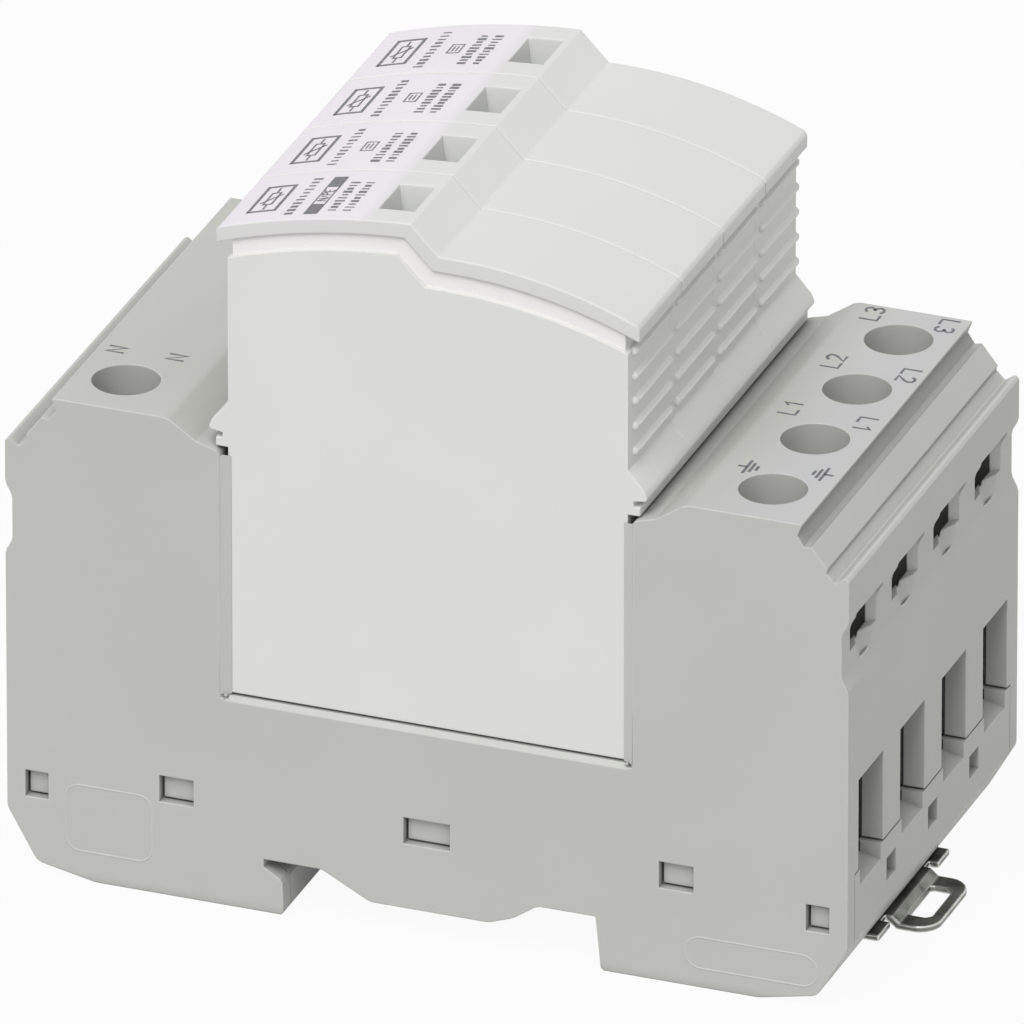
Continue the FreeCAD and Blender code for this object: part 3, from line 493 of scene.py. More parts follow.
class Finish(Enum):
    """Finishes of the device."""

    # Rim colours paint highlights on outer edges and crevice shares paint shade in grooves.
    HOUSING = Moulded("housing_grey", (0.490, 0.495, 0.467), mottle=0.04, rim=(0.66, 0.665, 0.64),
                      patches=(MARK_STRIP, MARKER_GROOVE_SHADE, ENTRY_SHADE))
    PLUG = Moulded("plug_white", (0.692, 0.697, 0.671), mottle=0.03, edge=0.2, crevice_shade=0.95,
                   rim=(0.80, 0.80, 0.785), patches=(CASE_BAND_LIGHT,))
    CAP = Moulded("cap_white", (0.652, 0.652, 0.648), mottle=0.025, edge=0.25, crevice_shade=0.92,
                  rim=(0.80, 0.80, 0.79), patches=(CAP_LABEL, CAP_STEP_LIGHT))
    # The zinc's near-white edge colour is a painted highlight, and its darkening in hollows is painted
    # shade.
    ZINC = Metal("zinc_steel", (0.35, 0.36, 0.32), (0.15, 0.155, 0.135), edge_highlight=(0.98, 0.98, 0.94),
                 hollow_shade=0.5)
    TERMINAL = Metal("terminal_steel", (0.60, 0.60, 0.57), (0.47, 0.47, 0.45))
    COPPER = Metal("copper_bar", (0.80, 0.42, 0.28), (0.60, 0.30, 0.19))
    TIN = Metal("tinned_contact", (0.74, 0.74, 0.72), (0.60, 0.60, 0.58))
    VARISTOR = Coated("varistor_coating", (0.07, 0.16, 0.38), (0.05, 0.12, 0.30))
    CERAMIC = Coated("tube_ceramic", (0.80, 0.78, 0.73), (0.72, 0.70, 0.66), coat=0.5)
    FLAG = FlagStrip("status_flag", (0.20, 0.46, 0.20), (0.55, 0.05, 0.03), -6.6)
    INK = Ink("grey_ink", (0.115, 0.115, 0.13), (0.19, 0.19, 0.21))
    RELIEF = Moulded("housing_relief", (0.520, 0.525, 0.500), mottle=0.04, edge=0)
    BEAD = Moulded("bead_white", (0.720, 0.724, 0.700), mottle=0.02, edge=0, crevice_shade=1.0)
    LIP = Moulded("lip_grey", (0.505, 0.510, 0.482), mottle=0.03, edge=0, crevice_shade=1.0)


MATERIALS: dict[Finish, bpy.types.Material] = {}


def material(finish: Finish) -> bpy.types.Material:
    """The one material of a finish.

    Args:
        finish: Which finish.

    Returns:
        Its material, built on first use.
    """
    if finish not in MATERIALS:
        MATERIALS[finish] = finish.value.build()
    return MATERIALS[finish]


def paint(node: str, finish: Finish) -> None:
    """Put a finish on a CAD node.

    Args:
        node: The node.
        finish: Its finish.
    """
    slots = frame["nodes"][node].data.materials
    slots.clear()
    slots.append(material(finish))


# Geometry Nodes

class Recipe:
    """Geometry Nodes tree with named inputs, applied to a plain mesh and kept as a plain mesh."""

    def __init__(self, name: str) -> None:
        """Start a tree with a geometry input and output.

        Args:
            name: Name of the tree.
        """
        self.group = bpy.data.node_groups.new(name, "GeometryNodeTree")
        self.group.interface.new_socket("Geometry", in_out="INPUT", socket_type="NodeSocketGeometry")
        self.group.interface.new_socket("Geometry", in_out="OUTPUT", socket_type="NodeSocketGeometry")
        self.start = self.group.nodes.new("NodeGroupInput")
        self.ids: dict[str, str] = {}

    def given(self, name: str, kind: str = "NodeSocketFloat") -> object:
        """Named input of the tree.

        Args:
            name: Name of the input.
            kind: Its socket type.

        Returns:
            The socket that carries it inside the tree.
        """
        item = self.group.interface.new_socket(name, in_out="INPUT", socket_type=kind)
        self.ids[name] = item.identifier
        return next(s for s in self.start.outputs if s.identifier == item.identifier)

    def add(self, kind: str, links: Links = None, **settings: object) -> bpy.types.Node:
        """Add a node of a full type."""
        return add_node(self.group, kind, links, **settings)

    def join(self, first: object, second: object) -> object:
        """Both geometries as one.

        Args:
            first: Geometry socket.
            second: Geometry socket.

        Returns:
            The joined geometry socket.
        """
        both = self.add("GeometryNodeJoinGeometry")
        self.group.links.new(first, both.inputs[0])
        self.group.links.new(second, both.inputs[0])
        return both.outputs[0]

    def close(self, geometry: object) -> None:
        """End the tree in real geometry with a material.

        Args:
            geometry: Geometry socket.
        """
        real = self.add("GeometryNodeRealizeInstances", {0: geometry})
        finish = self.given("Finish", "NodeSocketMaterial")
        coloured = self.add("GeometryNodeSetMaterial", {0: real.outputs[0], "Material": finish})
        self.add("NodeGroupOutput", {0: coloured.outputs[0]})

    def make(self, name: str, mesh: bpy.types.Mesh, finish: Finish,
             values: dict[str, object]) -> bpy.types.Object:
        """Plain piece that the tree makes of a mesh.

        Args:
            name: Name of the piece.
            mesh: What the tree starts from.
            finish: Finish of the piece.
            values: Values of the named inputs.

        Returns:
            The piece, with no modifier left on it.
        """
        source = placed(name + ".source", mesh)
        modifier = source.modifiers.new("recipe", "NODES")
        modifier.node_group = self.group
        for key, value in {**values, "Finish": material(finish)}.items():
            modifier[self.ids[key]] = value
        source.update_tag()
        result = evaluated(source)
        bpy.data.objects.remove(source)
        return placed(name, result)


def edge_mesh(name: str, lines: list[list[Vector]], closed: bool = False) -> bpy.types.Mesh:
    """Mesh of loose edges along some lines.

    Args:
        name: Name of the mesh.
        lines: Points of each line, in metres.
        closed: Whether each line runs back to its start.

    Returns:
        The mesh.
    """
    points: list[Vector] = []
    edges: list[tuple[int, int]] = []
    for line in lines:
        first = len(points)
        points += line
        edges += [(first + i, first + i + 1) for i in range(len(line) - 1)]
        if closed:
            edges.append((first + len(line) - 1, first))
    mesh = bpy.data.meshes.new(name)
    mesh.from_pydata(points, edges, [])
    return mesh


def bead_recipe() -> Recipe:
    """Round bead along each edge line, with a ball at its first point.

    Returns:
        The tree, with inputs Radius and Ball.
    """
    recipe = Recipe("round_beads")
    radius, ball = recipe.given("Radius"), recipe.given("Ball")
    curve = recipe.add("GeometryNodeMeshToCurve", {0: recipe.start.outputs[0]}).outputs[0]
    ring = recipe.add("GeometryNodeCurvePrimitiveCircle", {"Resolution": 12, "Radius": radius})
    bead = recipe.add("GeometryNodeCurveToMesh", {0: curve, 1: ring.outputs[0], "Fill Caps": True})
    ends = recipe.add("GeometryNodeCurveEndpointSelection", {"Start Size": 1, "End Size": 0})
    globe = recipe.add("GeometryNodeMeshIcoSphere", {"Radius": ball, "Subdivisions": 3})
    balls = recipe.add("GeometryNodeInstanceOnPoints", {
        0: curve, "Selection": ends.outputs[0], "Instance": globe.outputs[0]})
    both = recipe.join(bead.outputs[0], balls.outputs[0])
    smooth = recipe.add("GeometryNodeSetShadeSmooth", {0: both})
    recipe.close(smooth.outputs[0])
    return recipe


def ribbon_recipe() -> Recipe:
    """Flat raised strip along each edge line, for printed strokes.

    Returns:
        The tree, with inputs Width and Height.
    """
    recipe = Recipe("printed_strokes")
    width, height = recipe.given("Width"), recipe.given("Height")
    curve = recipe.add("GeometryNodeMeshToCurve", {0: recipe.start.outputs[0]})
    level = recipe.add("GeometryNodeSetCurveNormal", {0: curve.outputs[0]})
    level.mode = "Z_UP"
    profile = recipe.add("GeometryNodeCurvePrimitiveQuadrilateral", {"Width": width, "Height": height})
    strip = recipe.add("GeometryNodeCurveToMesh", {
        0: level.outputs[0], 1: profile.outputs[0], "Fill Caps": True})
    recipe.close(strip.outputs[0])
    return recipe


def print_recipe() -> Recipe:
    """Dashes of uneven length on row points, laid with flat print on a curved surface below.

    Returns:
        The tree, with inputs Surface, Print, Height, Wide, Lift and Seed.
    """
    recipe = Recipe("surface_print")
    surface = recipe.given("Surface", "NodeSocketObject")
    flat = recipe.given("Print", "NodeSocketObject")
    height, wide, lift = recipe.given("Height"), recipe.given("Wide"), recipe.given("Lift")
    seed = recipe.given("Seed", "NodeSocketInt")
    dash = recipe.add("GeometryNodeMeshGrid", {
        "Size X": 1.0, "Size Y": 1.0, "Vertices X": 3, "Vertices Y": 2})
    share = recipe.add("FunctionNodeRandomValue", {0: (0.62, 0.35, 1.0), 1: (1.0, 1.0, 1.0), "Seed": seed},
                       data_type="FLOAT_VECTOR")
    size = recipe.add("ShaderNodeCombineXYZ", {0: height, 1: wide, 2: 1.0})
    scale = recipe.add("ShaderNodeVectorMath", {0: share.outputs[0], 1: size.outputs[0]},
                       operation="MULTIPLY")
    dashes = recipe.add("GeometryNodeInstanceOnPoints", {
        0: recipe.start.outputs[0], "Instance": dash.outputs[0], "Scale": scale.outputs[0]})
    real = recipe.add("GeometryNodeRealizeInstances", {0: dashes.outputs[0]})
    drawn = recipe.add("GeometryNodeObjectInfo", {"Object": flat}, transform_space="RELATIVE")
    both = recipe.join(real.outputs[0], drawn.outputs["Geometry"])
    ground = recipe.add("GeometryNodeObjectInfo", {"Object": surface}, transform_space="RELATIVE")
    position = recipe.add("GeometryNodeInputPosition")
    above = recipe.add("ShaderNodeVectorMath", {0: position.outputs[0], 1: RAY_START})
    ray = recipe.add("GeometryNodeRaycast", {
        0: ground.outputs["Geometry"], "Source Position": above.outputs[0],
        "Ray Direction": (0, 0, -1), "Ray Length": RAY_LENGTH})
    raised = recipe.add("ShaderNodeVectorMath", {0: ray.outputs["Hit Normal"], "Scale": lift},
                        operation="SCALE")
    place = recipe.add("ShaderNodeVectorMath", {0: ray.outputs["Hit Position"], 1: raised.outputs[0]})
    laid = recipe.add("GeometryNodeSetPosition", {
        0: both, "Selection": ray.outputs["Is Hit"], "Position": place.outputs[0]})
    recipe.close(laid.outputs[0])
    return recipe


# Shared helpers for pieces

def settle(piece: bpy.types.Object, body: str) -> None:
    """Let a finished piece ride on a body.

    Args:
        piece: The piece.
        body: CAD body that it moves with.
    """
    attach(piece, body)
    log.info("%s: %d faces on %s", piece.name, len(piece.data.polygons), body)


def softened(node: str, name: str, finish: Finish, width: float, segments: int = 2) -> bpy.types.Object:
    """Copy of a CAD node with its flat faces joined and its edges rounded.

    Args:
        node: CAD node.
        name: Name of the copy.
        finish: Finish of the copy.
        width: Width of the rounding, in millimetres.
        segments: Faces across each rounding.

    Returns:
        The new piece.
    """
    mesh = bpy.data.meshes.new(name)
    shape = bmesh.new()
    shape.from_mesh(frame["nodes"][node].data)
    bmesh.ops.remove_doubles(shape, verts=shape.verts, dist=WELD)
    bmesh.ops.dissolve_limit(shape, angle_limit=math.radians(FLAT_ANGLE), verts=shape.verts,
                             edges=shape.edges)
    shape.to_mesh(mesh)
    shape.free()
    mesh.materials.clear()
    mesh.materials.append(material(finish))
    for polygon in mesh.polygons:
        polygon.material_index = 0
        polygon.use_smooth = True
    source = placed(name + ".source", mesh)
    rounding = source.modifiers.new("rounding", "BEVEL")
    rounding.width = width * MM
    rounding.segments = segments
    rounding.limit_method = "ANGLE"
    rounding.angle_limit = math.radians(EDGE_ANGLE)
    source.data = evaluated(source)
    source.modifiers.clear()
    source.data.set_sharp_from_angle(angle=math.radians(SHARP_ANGLE))
    level = source.modifiers.new("level", "WEIGHTED_NORMAL")
    level.weight = 100
    level.keep_sharp = True
    result = evaluated(source)
    bpy.data.objects.remove(source)
    return placed(name, result)


# Marks

GLYPHS: dict[str, list[Stroke]] = {
    "L": [[(0.0, 1.0), (0.0, 0.0), (0.6, 0.0)]],
    "1": [[(0.15, 0.72), (0.42, 1.0), (0.42, 0.0)]],
    "2": [[(0.0, 0.78), (0.12, 0.95), (0.32, 1.0), (0.52, 0.92), (0.58, 0.72), (0.48, 0.5), (0.0, 0.0),
           (0.6, 0.0)]],
    "3": [[(0.0, 0.86), (0.2, 1.0), (0.42, 0.98), (0.55, 0.78), (0.45, 0.58), (0.25, 0.52)],
          [(0.25, 0.52), (0.48, 0.46), (0.6, 0.26), (0.48, 0.05), (0.22, 0.0), (0.0, 0.12)]],
    "N": [[(0.0, 0.0), (0.0, 1.0), (0.62, 0.0), (0.62, 1.0)]],
    "P": [[(0.0, 0.0), (0.0, 1.0), (0.35, 1.0), (0.52, 0.88), (0.52, 0.62), (0.35, 0.5), (0.0, 0.5)]],
    "E": [[(0.5, 0.0), (0.0, 0.0), (0.0, 1.0), (0.5, 1.0)], [(0.0, 0.5), (0.42, 0.5)]],
    "/": [[(0.0, 0.0), (0.4, 1.0)]],
    "earth": [[(0.78, 1.12), (0.78, 0.62)], [(0.0, 0.62), (1.56, 0.62)], [(0.25, 0.34), (1.31, 0.34)],
              [(0.52, 0.06), (1.04, 0.06)]],
}


def written(text: list[str], height: float, gap: float = 0.26) -> list[Stroke]:
    """Strokes of a short marking, centred on the origin, in millimetres.

    Args:
        text: Glyph names in order.
        height: Height of the glyphs.
        gap: Space between glyphs, as a share of the height.

    Returns:
        The strokes, reading along +u with v upward.
    """
    strokes: list[Stroke] = []
    pen = 0.0
    for key in text:
        for line in GLYPHS[key]:
            strokes.append([(pen + u, v) for u, v in line])
        pen += max(u for line in GLYPHS[key] for u, _ in line) + gap
    middle = (pen - gap) / 2
    return [[((u - middle) * height, (v - 0.5) * height) for u, v in line] for line in strokes]


# Sub-assemblies

@dataclass
class Housing:
    """Base housing and tray: softened edges, terminal marks, two raised rims and the well's lips."""

    shell_edge: float = 0.20
    tray_edge: float = 0.16
    top_z: float = 47.55
    face_y: float = -24.55
    lip_in: float = 20.95
    lip_out: Pair = (22.02, 22.30)
    lip_near: float = 23.98
    lip_far: float = 24.545
    lip_span: Pair = (17.7, 44.2)
    mark_height: float = 1.9
    mark_lift: float = 0.01
    stroke: float = 0.29
    stroke_height: float = 0.04
    rim_radius: float = 0.2
    rim_depth: float = 0.15
    rim_ball: float = 0.05
    rims: tuple[tuple[float, ...], ...] = (
        (-34.05, 1.07, 4.65, 3.70, 1.5), (34.75, -2.05, 7.05, 1.73, 1.65))
    marks: dict[str, list[Triple]] = field(default_factory=lambda: {
        "earth": [(30.6, -14.3, -1), (37.9, -13.2, 1)], "L1": [(29.8, -0.5, -1), (38.0, -1.0, 1)],
        "L2": [(30.1, 11.1, -1), (38.3, 10.6, 1)], "L3": [(30.0, 22.6, -1), (38.0, 22.5, 1)],
        "N": [(-37.9, -11.9, -1), (-31.6, -11.5, -1)]})

    def shells(self) -> None:
        """Rounded copies of the housing and the tray in place of the CAD ones."""
        for node, width in (("housing_shell", self.shell_edge), ("base_tray", self.tray_edge)):
            piece = softened(node, node + "_dress", Finish.HOUSING, width)
            settle(piece, "base")
            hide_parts(node)

    def terminal_marks(self, recipe: Recipe) -> None:
        """Printed strokes beside the screwdriver holes.

        Args:
            recipe: Tree that makes strips of edge lines.
        """
        lines: list[list[Vector]] = []
        z = self.top_z + self.mark_lift
        for text, places in self.marks.items():
            keys = ["earth"] if text == "earth" else list(text)
            for x, y, up in places:
                for line in written(keys, self.mark_height):
                    lines.append([Vector((x + up * v, y - up * u, z)) * MM for u, v in line])
        mesh = edge_mesh("terminal_marks", lines)
        values = {"Width": self.stroke * MM, "Height": self.stroke_height * MM}
        piece = recipe.make("terminal_marks", mesh, Finish.INK, values)
        settle(piece, "base")

    def side_rims(self, recipe: Recipe) -> None:
        """Two raised outlines low on the front face, one square and one oblong.

        Args:
            recipe: Tree that makes beads along edge lines.
        """
        mesh = edge_mesh("side_rims", [self.rounded(*rim) for rim in self.rims], closed=True)
        values = {"Radius": self.rim_radius * MM, "Ball": self.rim_ball * MM}
        piece = recipe.make("side_rims", mesh, Finish.RELIEF, values)
        settle(piece, "base")

    def well_lips(self) -> None:
        """Slim sloped lips on the well's four upright edges, close in front of the plugs."""
        shape = bmesh.new()
        for sx in (-1, 1):
            for sy in (-1, 1):
                near, far = sy * self.lip_near, sy * self.lip_far
                rings = []
                for z, out in zip(self.lip_span, self.lip_out):
                    corners = [(self.lip_in, near), (out, far), (out, near)]
                    rings.append([shape.verts.new(Vector((sx * x, y, z)) * MM) for x, y in corners])
                low, high = rings
                for i in range(3):
                    shape.faces.new([low[i], low[(i + 1) % 3], high[(i + 1) % 3], high[i]])
                shape.faces.new(low)
                shape.faces.new(high)
        bmesh.ops.recalc_face_normals(shape, faces=shape.faces)
        mesh = bpy.data.meshes.new("well_lips")
        shape.to_mesh(mesh)
        shape.free()
        mesh.materials.append(material(Finish.LIP))
        settle(placed("well_lips", mesh), "base")

    def rounded(self, x: float, z: float, half_x: float, half_z: float, radius: float) -> list[Vector]:
        """Rounded oblong on the front face, in metres.

        Args:
            x: Middle along the device.
            z: Middle height.
            half_x: Half its length.
            half_z: Half its height.
            radius: Corner radius.

        Returns:
            Points of the closed line.
        """
        points = []
        y = self.face_y + self.rim_depth
        for corner, (sx, sz) in enumerate(((1, 1), (-1, 1), (-1, -1), (1, -1))):
            for step in range(7):
                turn = math.radians(90 * corner + 15 * step)
                along = x + sx * (half_x - radius) + radius * math.cos(turn)
                height = z + sz * (half_z - radius) + radius * math.sin(turn)
                points.append(Vector((along, y, height)) * MM)
        return points

    def build(self, ribbon: Recipe, bead: Recipe) -> None:
        """Dress the housing and the tray.

        Args:
            ribbon: Tree for printed strokes.
            bead: Tree for raised rims.
        """
        paint("housing_shell", Finish.HOUSING)
        paint("base_tray", Finish.HOUSING)
        self.shells()
        self.terminal_marks(ribbon)
        self.side_rims(bead)
        self.well_lips()


def bars_between(left: float, right: float, low: float, high: float, line: float) -> list[Bar]:
    """Four bars of a frame.

    Args:
        left: Outer edge at the low end of x.
        right: Outer edge at the high end of x.
        low: Outer edge at the low end of y.
        high: Outer edge at the high end of y.
        line: Width of the bars.

    Returns:
        The bars, as x from, x to, y from, y to.
    """
    return [(left, left + line, low, high), (right - line, right, low, high),
            (left, right, low, low + line), (left, right, high - line, high)]


# Print on the caps, in millimetres from the middle of each plug
SYMBOL_FRAME = bars_between(-20.3, -17.1, -3.2, 3.2, 0.34)
SYMBOL: list[Bar] = [(-19.25, -19.05, -1.5, 1.5), (-18.35, -18.15, -1.5, 1.5), (-19.25, -18.15, -1.5, -1.3),
                     (-19.25, -18.15, 1.3, 1.5), (-18.8, -18.6, -2.6, -1.5), (-18.8, -18.6, 1.5, 2.6)]
NEUTRAL_BAND: list[Bar] = [(-13.7, -12.2, -4.5, -2.1), (-13.7, -12.2, 2.1, 4.5), (-13.7, -13.55, -2.1, 2.1),
                           (-12.35, -12.2, -2.1, 2.1)]
SMALL_BOX: list[Bar] = [(-13.6, -13.45, -1.1, 1.1), (-12.35, -12.2, -1.1, 1.1), (-13.6, -12.2, -1.1, -0.95),
                        (-13.6, -12.2, 0.95, 1.1), (-13.2, -13.05, -0.6, 0.6), (-12.8, -12.65, -0.6, 0.6)]
SYMBOL_STROKE = (-19.6, -1.0), (-17.8, 1.0)
SYMBOL_LINE, LETTER_LINE, LETTER_HEIGHT, LETTER_X = 0.2, 0.14, 0.95, -12.95
DASH_ROWS = ((-15.35, 4.2, 0.84), (-10.95, 3.6, 0.74), (-9.35, 3.6, 0.74))  # place, half length, step


@dataclass
class CapPrint:
    """Flat faces above one cap, which the print tree lays on it."""

    y: float
    start_z: float
    bar_part: float = 0.7
    slant_parts: int = 4
    shape: bmesh.types.BMesh = field(default_factory=bmesh.new)

    def bar(self, x0: float, x1: float, y0: float, y1: float) -> None:
        """One oblong, split along its length so that it can follow the cap.

        Args:
            x0: Where it starts along the device.
            x1: Where it ends along the device.
            y0: Where it starts across the plug.
            y1: Where it ends across the plug.
        """
        parts = max(1, round((x1 - x0) / self.bar_part))
        for i in range(parts):
            a, b = x0 + (x1 - x0) * i / parts, x0 + (x1 - x0) * (i + 1) / parts
            corners = ((a, y0), (b, y0), (b, y1), (a, y1))
            self.face([Vector((u, self.y + v, self.start_z)) for u, v in corners])

    def slanted(self, start: Point, end: Point, width: float) -> None:
        """One stroke between two points.

        Args:
            start: First point.
            end: Last point.
            width: Width of the stroke.
        """
        a, b = (Vector((u, self.y + v, self.start_z)) for u, v in (start, end))
        side = (b - a).cross(Vector((0, 0, 1))).normalized() * width / 2
        for i in range(self.slant_parts):
            p, q = a.lerp(b, i / self.slant_parts), a.lerp(b, (i + 1) / self.slant_parts)
            self.face([p - side, q - side, q + side, p + side])

    def face(self, corners: list[Vector]) -> None:
        """One face between corners in millimetres."""
        self.shape.faces.new([self.shape.verts.new(v * MM) for v in corners])

    def close(self, name: str) -> bpy.types.Object:
        """Helper object that holds the faces.

        Args:
            name: Name of the object.

        Returns:
            The object.
        """
        mesh = bpy.data.meshes.new("flat_print")
        self.shape.to_mesh(mesh)
        self.shape.free()
        return placed(name, mesh)


@dataclass
class Plugs:
    """The four plugs: softened cases and caps, grip beads and the print on the caps."""

    count: int = 4
    pitch: float = 12.0
    half_x: float = 21.3
    half_y: float = 5.85
    case_edge: float = 0.12
    cap_edge: float = 0.14
    rib_low: float = 51.4
    rib_pitch: float = 2.77
    ribs: int = 5
    rib_margin: float = 1.8
    rib_end: float = 0.35
    bead_lead: float = 0.5
    bead_out: float = 0.27
    bead_radius: float = 0.22
    ball_radius: float = 0.50
    seam: float = 0.065
    seam_shift: float = 0.01
    seam_out: float = 0.02
    wall_slack: float = 0.02
    print_shift: float = -0.2
    print_start: float = 76.0
    print_lift: float = 0.03
    dash_size: Pair = (1.05, 0.50)

    def middle(self, plug: int) -> float:
        """Middle of a plug across the device, counted from 1 at the front."""
        return (plug - (self.count + 1) / 2) * self.pitch

    def cases(self, plug: int) -> None:
        """Rounded copies of one plug's case and cap in place of the CAD ones.

        Args:
            plug: Number of the plug.
        """
        for word, finish, slot, width in (("body", Finish.PLUG, "plug_white", self.case_edge),
                                          ("cap", Finish.CAP, "cap_white", self.cap_edge)):
            node = f"plug_{word}_{plug}"
            paint(node, finish)
            piece = softened(node, node + "_dress", finish, width)
            settle(piece, f"plug_{plug}")
            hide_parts(node)

    def grips(self, plug: int, recipe: Recipe) -> None:
        """Round beads over the grip ribs on both ends of one plug.

        Args:
            plug: Number of the plug.
            recipe: Tree that makes beads along edge lines.
        """
        y = self.middle(plug)
        start, end = y - self.pitch / 2 + self.rib_margin, y + self.half_y - self.rib_end
        lines = []
        for side in (-1, 1):
            foot, x = side * self.half_x, side * (self.half_x + self.bead_out)
            for rib in range(self.ribs):
                z = self.rib_low + rib * self.rib_pitch
                points = ((foot, start), (x, start + self.bead_lead), (x, end))
                lines.append([Vector((u, v, z)) * MM for u, v in points])
        values = {"Radius": self.bead_radius * MM, "Ball": self.ball_radius * MM}
        piece = recipe.make(f"grip_beads_{plug}", edge_mesh("grips", lines), Finish.BEAD, values)
        settle(piece, f"plug_{plug}")

    def seam_bead(self, plug: int, recipe: Recipe) -> None:
        """Slim bead along the top and end edges of one plug, in the joint to the next.

        Args:
            plug: Number of the plug.
            recipe: Tree that makes beads along edge lines.
        """
        joint = (self.middle(plug) + self.pitch / 2 - self.seam_shift) * MM
        lines = []
        for word in ("cap", "body"):
            shape = bmesh.new()
            shape.from_mesh(frame["nodes"][f"plug_{word}_{plug}"].data)
            bmesh.ops.remove_doubles(shape, verts=shape.verts, dist=WELD)
            wall = max(v.co.y for v in shape.verts)
            for edge in shape.edges:
                a, b = (v.co for v in edge.verts)
                if min(a.y, b.y) < wall - self.wall_slack * MM or len(edge.link_faces) != 2:
                    continue
                others = [f.normal for f in edge.link_faces if f.normal.y < 0.5]
                if len(others) != 1 or not self.in_view(word, others[0]):
                    continue
                push = others[0] * ((self.seam_out - self.seam) * MM)
                lines.append([Vector((p.x, joint, p.z)) + push for p in (a, b)])
            shape.free()
        values = {"Radius": self.seam * MM, "Ball": self.seam * MM}
        piece = recipe.make(f"seam_bead_{plug}", edge_mesh("seams", lines), Finish.BEAD, values)
        settle(piece, f"plug_{plug}")

    def in_view(self, word: str, normal: Vector) -> bool:
        """Whether a face beside the joint looks up on a cap, or to an end on a case."""
        return normal.z >= 0.2 if word == "cap" else abs(normal.x) >= 0.7

    def flat_print(self, plug: int) -> bpy.types.Object:
        """Frames, symbol and band of one cap as flat faces above it.

        Args:
            plug: Number of the plug.

        Returns:
            A helper object that the print tree reads.
        """
        drawn = CapPrint(self.middle(plug) + self.print_shift, self.print_start)
        for bar in SYMBOL_FRAME + SYMBOL:
            drawn.bar(*bar)
        drawn.slanted(*SYMBOL_STROKE, SYMBOL_LINE)
        for bar in NEUTRAL_BAND if plug == 1 else SMALL_BOX:
            drawn.bar(*bar)
        for stroke in written(list("N/PE"), LETTER_HEIGHT) if plug == 1 else []:
            for a, b in zip(stroke, stroke[1:]):
                drawn.slanted((LETTER_X - a[1], a[0]), (LETTER_X - b[1], b[0]), LETTER_LINE)
        return drawn.close(f"flat_print_{plug}.source")

    def label(self, plug: int, recipe: Recipe) -> None:
        """Print on one cap: frame with a symbol, rows of dashes and a small box or band.

        Args:
            plug: Number of the plug.
            recipe: Tree that lays print on a surface.
        """
        y = self.middle(plug) + self.print_shift
        points = []
        for x, half, step in DASH_ROWS:
            count = int(2 * half / step) + 1
            points += [Vector((x, y - half + i * step, self.print_start)) * MM for i in range(count)]
        mesh = bpy.data.meshes.new("label_points")
        mesh.from_pydata(points, [], [])
        helper = self.flat_print(plug)
        height, wide = self.dash_size
        piece = recipe.make(f"cap_label_{plug}", mesh, Finish.INK, {
            "Surface": frame["nodes"][f"plug_cap_{plug}"], "Print": helper, "Height": height * MM,
            "Wide": wide * MM, "Lift": self.print_lift * MM, "Seed": 11 * plug})
        bpy.data.objects.remove(helper)
        settle(piece, f"plug_{plug}")

    def inside(self, plug: int) -> None:
        """Finishes of one plug's blades, element and flag.

        Args:
            plug: Number of the plug.
        """
        paint(f"blade_left_{plug}", Finish.TIN)
        paint(f"blade_right_{plug}", Finish.TIN)
        paint(f"status_flag_{plug}", Finish.FLAG)
        if plug == 1:
            paint("gas_tube_1", Finish.CERAMIC)
        else:
            paint(f"varistor_{plug}", Finish.VARISTOR)

    def build(self, bead: Recipe, printed: Recipe) -> None:
        """Dress all plugs.

        Args:
            bead: Tree for the grip and seam beads.
            printed: Tree for the print on the caps.
        """
        for plug in range(1, self.count + 1):
            self.cases(plug)
            self.grips(plug, bead)
            if plug < self.count:
                self.seam_bead(plug, bead)
            self.label(plug, printed)
            self.inside(plug)


@dataclass
class CurrentPath:
    """Busbars, contact jaws, clamps and screws."""

    terminals: tuple[str, ...] = ("n", "pe", "l1", "l2", "l3")
    modules: int = 4

    def build(self) -> None:
        """Put the metal finishes on."""
        for name in self.terminals:
            paint("busbar_" + name, Finish.COPPER)
            paint("clamp_cage_" + name, Finish.TERMINAL)
            paint("clamp_screw_" + name, Finish.TERMINAL)
        for module in range(1, self.modules + 1):
            paint(f"contact_left_{module}", Finish.TIN)
            paint(f"contact_right_{module}", Finish.TIN)
        log.info("current path: %d terminals, %d modules", len(self.terminals), self.modules)


@dataclass
class FootLatch:
    """Sheet metal latch with rolled edges."""

    edge: float = 0.14
    segments: int = 3

    def build(self) -> None:
        """Rounded copy of the latch in place of the CAD one."""
        paint("latch_foot", Finish.ZINC)
        piece = softened("latch_foot", "latch_foot_dress", Finish.ZINC, self.edge, self.segments)
        settle(piece, "latch")
        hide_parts("latch_foot")


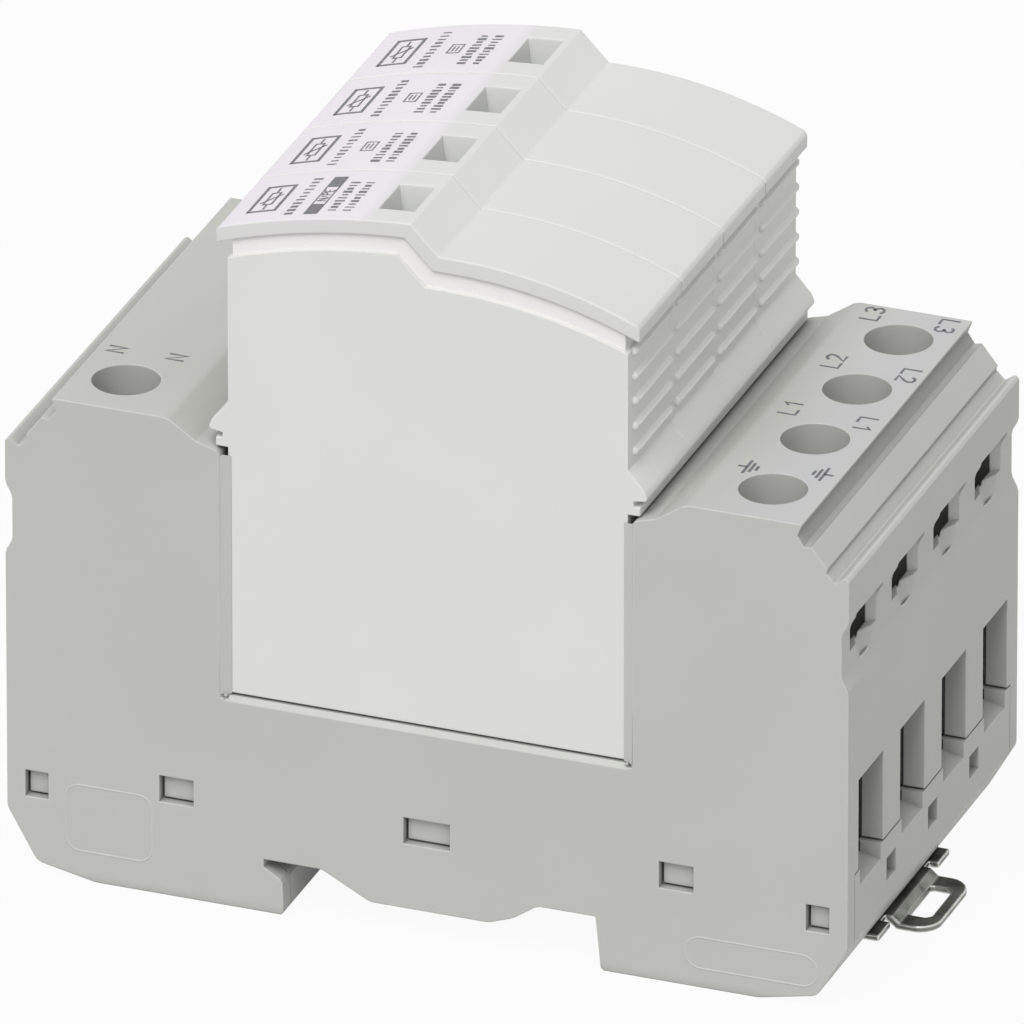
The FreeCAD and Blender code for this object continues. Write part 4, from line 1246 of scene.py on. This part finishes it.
@dataclass
class Studio:
    """Pale floor, soft light and the photograph's camera."""

    floor_z: float = -5.92
    floor_radius: float = 6.0
    floor_tones: Pair = (0.57, 0.59)
    floor_glow: float = 0.94
    ambient: float = 0.56
    lamp_angle: float = 40.0
    key_strength: float = 2.05
    key_from: Triple = (-0.06, -0.58, 0.81)
    fill_strength: float = 0.20
    fill_from: Triple = (0.62, -0.45, 0.64)
    azimuth: float = 20.819
    elevation: float = 26.428
    target: Triple = (-0.03, -0.18, 30.605)
    distance: float = 3485.5
    lens: float = 1222.0

    def seen(self, tree: bpy.types.NodeTree) -> object:
        """Mask of camera, glossy and transmission rays.

        Args:
            tree: Tree of the floor's material or of the world.

        Returns:
            The mask socket.
        """
        path = add_node(tree, "ShaderNodeLightPath")
        total = path.outputs["Is Camera Ray"]
        for name in ("Is Glossy Ray", "Is Transmission Ray"):
            step = add_node(tree, "ShaderNodeMath", {0: total, 1: path.outputs[name]}, operation="MAXIMUM")
            total = step.outputs[0]
        return total

    def floor(self) -> None:
        """White floor that keeps a soft shadow."""
        graph = Graph("studio_floor")
        dark, pale = (grey(tone, tone, tone) for tone in self.floor_tones)
        graph.feed("Base Color", graph.mix(graph.spread(graph.noise(6, 2), 0, 1), dark, pale))
        graph.shader.inputs["Roughness"].default_value = 0.9
        graph.shader.inputs["Specular IOR Level"].default_value = 0.0
        glow = graph.add("Emission", {"Color": grey(1, 1, 1), "Strength": 1.0})
        part = graph.product(self.seen(graph.tree), self.floor_glow)
        both = graph.add("MixShader", {0: part, 1: graph.shader.outputs[0], 2: glow.outputs[0]})
        graph.tree.links.new(both.outputs[0], graph.output.inputs["Surface"])
        mesh = bpy.data.meshes.new("studio_floor")
        shape = bmesh.new()
        bmesh.ops.create_circle(shape, cap_ends=True, segments=64, radius=self.floor_radius)
        bmesh.ops.translate(shape, verts=shape.verts, vec=Vector((0, 0, self.floor_z * MM)))
        shape.to_mesh(mesh)
        shape.free()
        mesh.materials.append(graph.material)
        placed("studio_floor", mesh)

    def world(self) -> None:
        """Even soft light all round, and a white background for the camera."""
        world = bpy.data.worlds.new("studio_world")
        bpy.context.scene.world = world
        world.use_nodes = True
        tree = world.node_tree
        tree.nodes.clear()
        soft = add_node(tree, "ShaderNodeBackground", {"Color": grey(1, 1, 1), "Strength": self.ambient})
        white = add_node(tree, "ShaderNodeBackground", {"Color": grey(1, 1, 1), "Strength": 1.0})
        both = add_node(tree, "ShaderNodeMixShader", {
            0: self.seen(tree), 1: soft.outputs[0], 2: white.outputs[0]})
        add_node(tree, "ShaderNodeOutputWorld", {"Surface": both.outputs[0]})

    def lamp(self, name: str, strength: float, source: Triple) -> None:
        """Broad soft light from far away.

        Args:
            name: Name of the lamp.
            strength: Its strength.
            source: Direction that the light comes from.
        """
        lamp = bpy.data.lights.new(name, "SUN")
        lamp.energy = strength
        lamp.angle = math.radians(self.lamp_angle)
        placed(name, lamp).rotation_euler = (-Vector(source)).to_track_quat("-Z", "Y").to_euler()

    def camera(self) -> None:
        """Long lens at the photograph's angle."""
        az, el = math.radians(self.azimuth), math.radians(self.elevation)
        ahead = Vector((-math.sin(az) * math.cos(el), math.cos(az) * math.cos(el), -math.sin(el)))
        data = bpy.data.cameras.new("photo_camera")
        data.lens = self.lens
        data.sensor_width = 36.0
        data.clip_end = 20.0
        holder = placed("photo_camera", data)
        holder.location = (Vector(self.target) - ahead * self.distance) * MM
        holder.rotation_euler = ahead.to_track_quat("-Z", "Y").to_euler()
        bpy.context.scene.camera = holder

    def build(self) -> None:
        """Set up the studio."""
        self.floor()
        self.world()
        self.lamp("soft_key", self.key_strength, self.key_from)
        self.lamp("right_fill", self.fill_strength, self.fill_from)
        self.camera()
        bpy.context.scene.view_settings.view_transform = "Standard"


def main() -> None:
    """Dress the device in order."""
    logging.basicConfig(level=logging.INFO, format="%(name)s %(message)s")
    bead, ribbon, printed = bead_recipe(), ribbon_recipe(), print_recipe()
    Housing().build(ribbon, bead)
    Plugs().build(bead, printed)
    CurrentPath().build()
    FootLatch().build()
    Studio().build()
    log.info("sizes written")


if __name__ == "__main__":
    main()
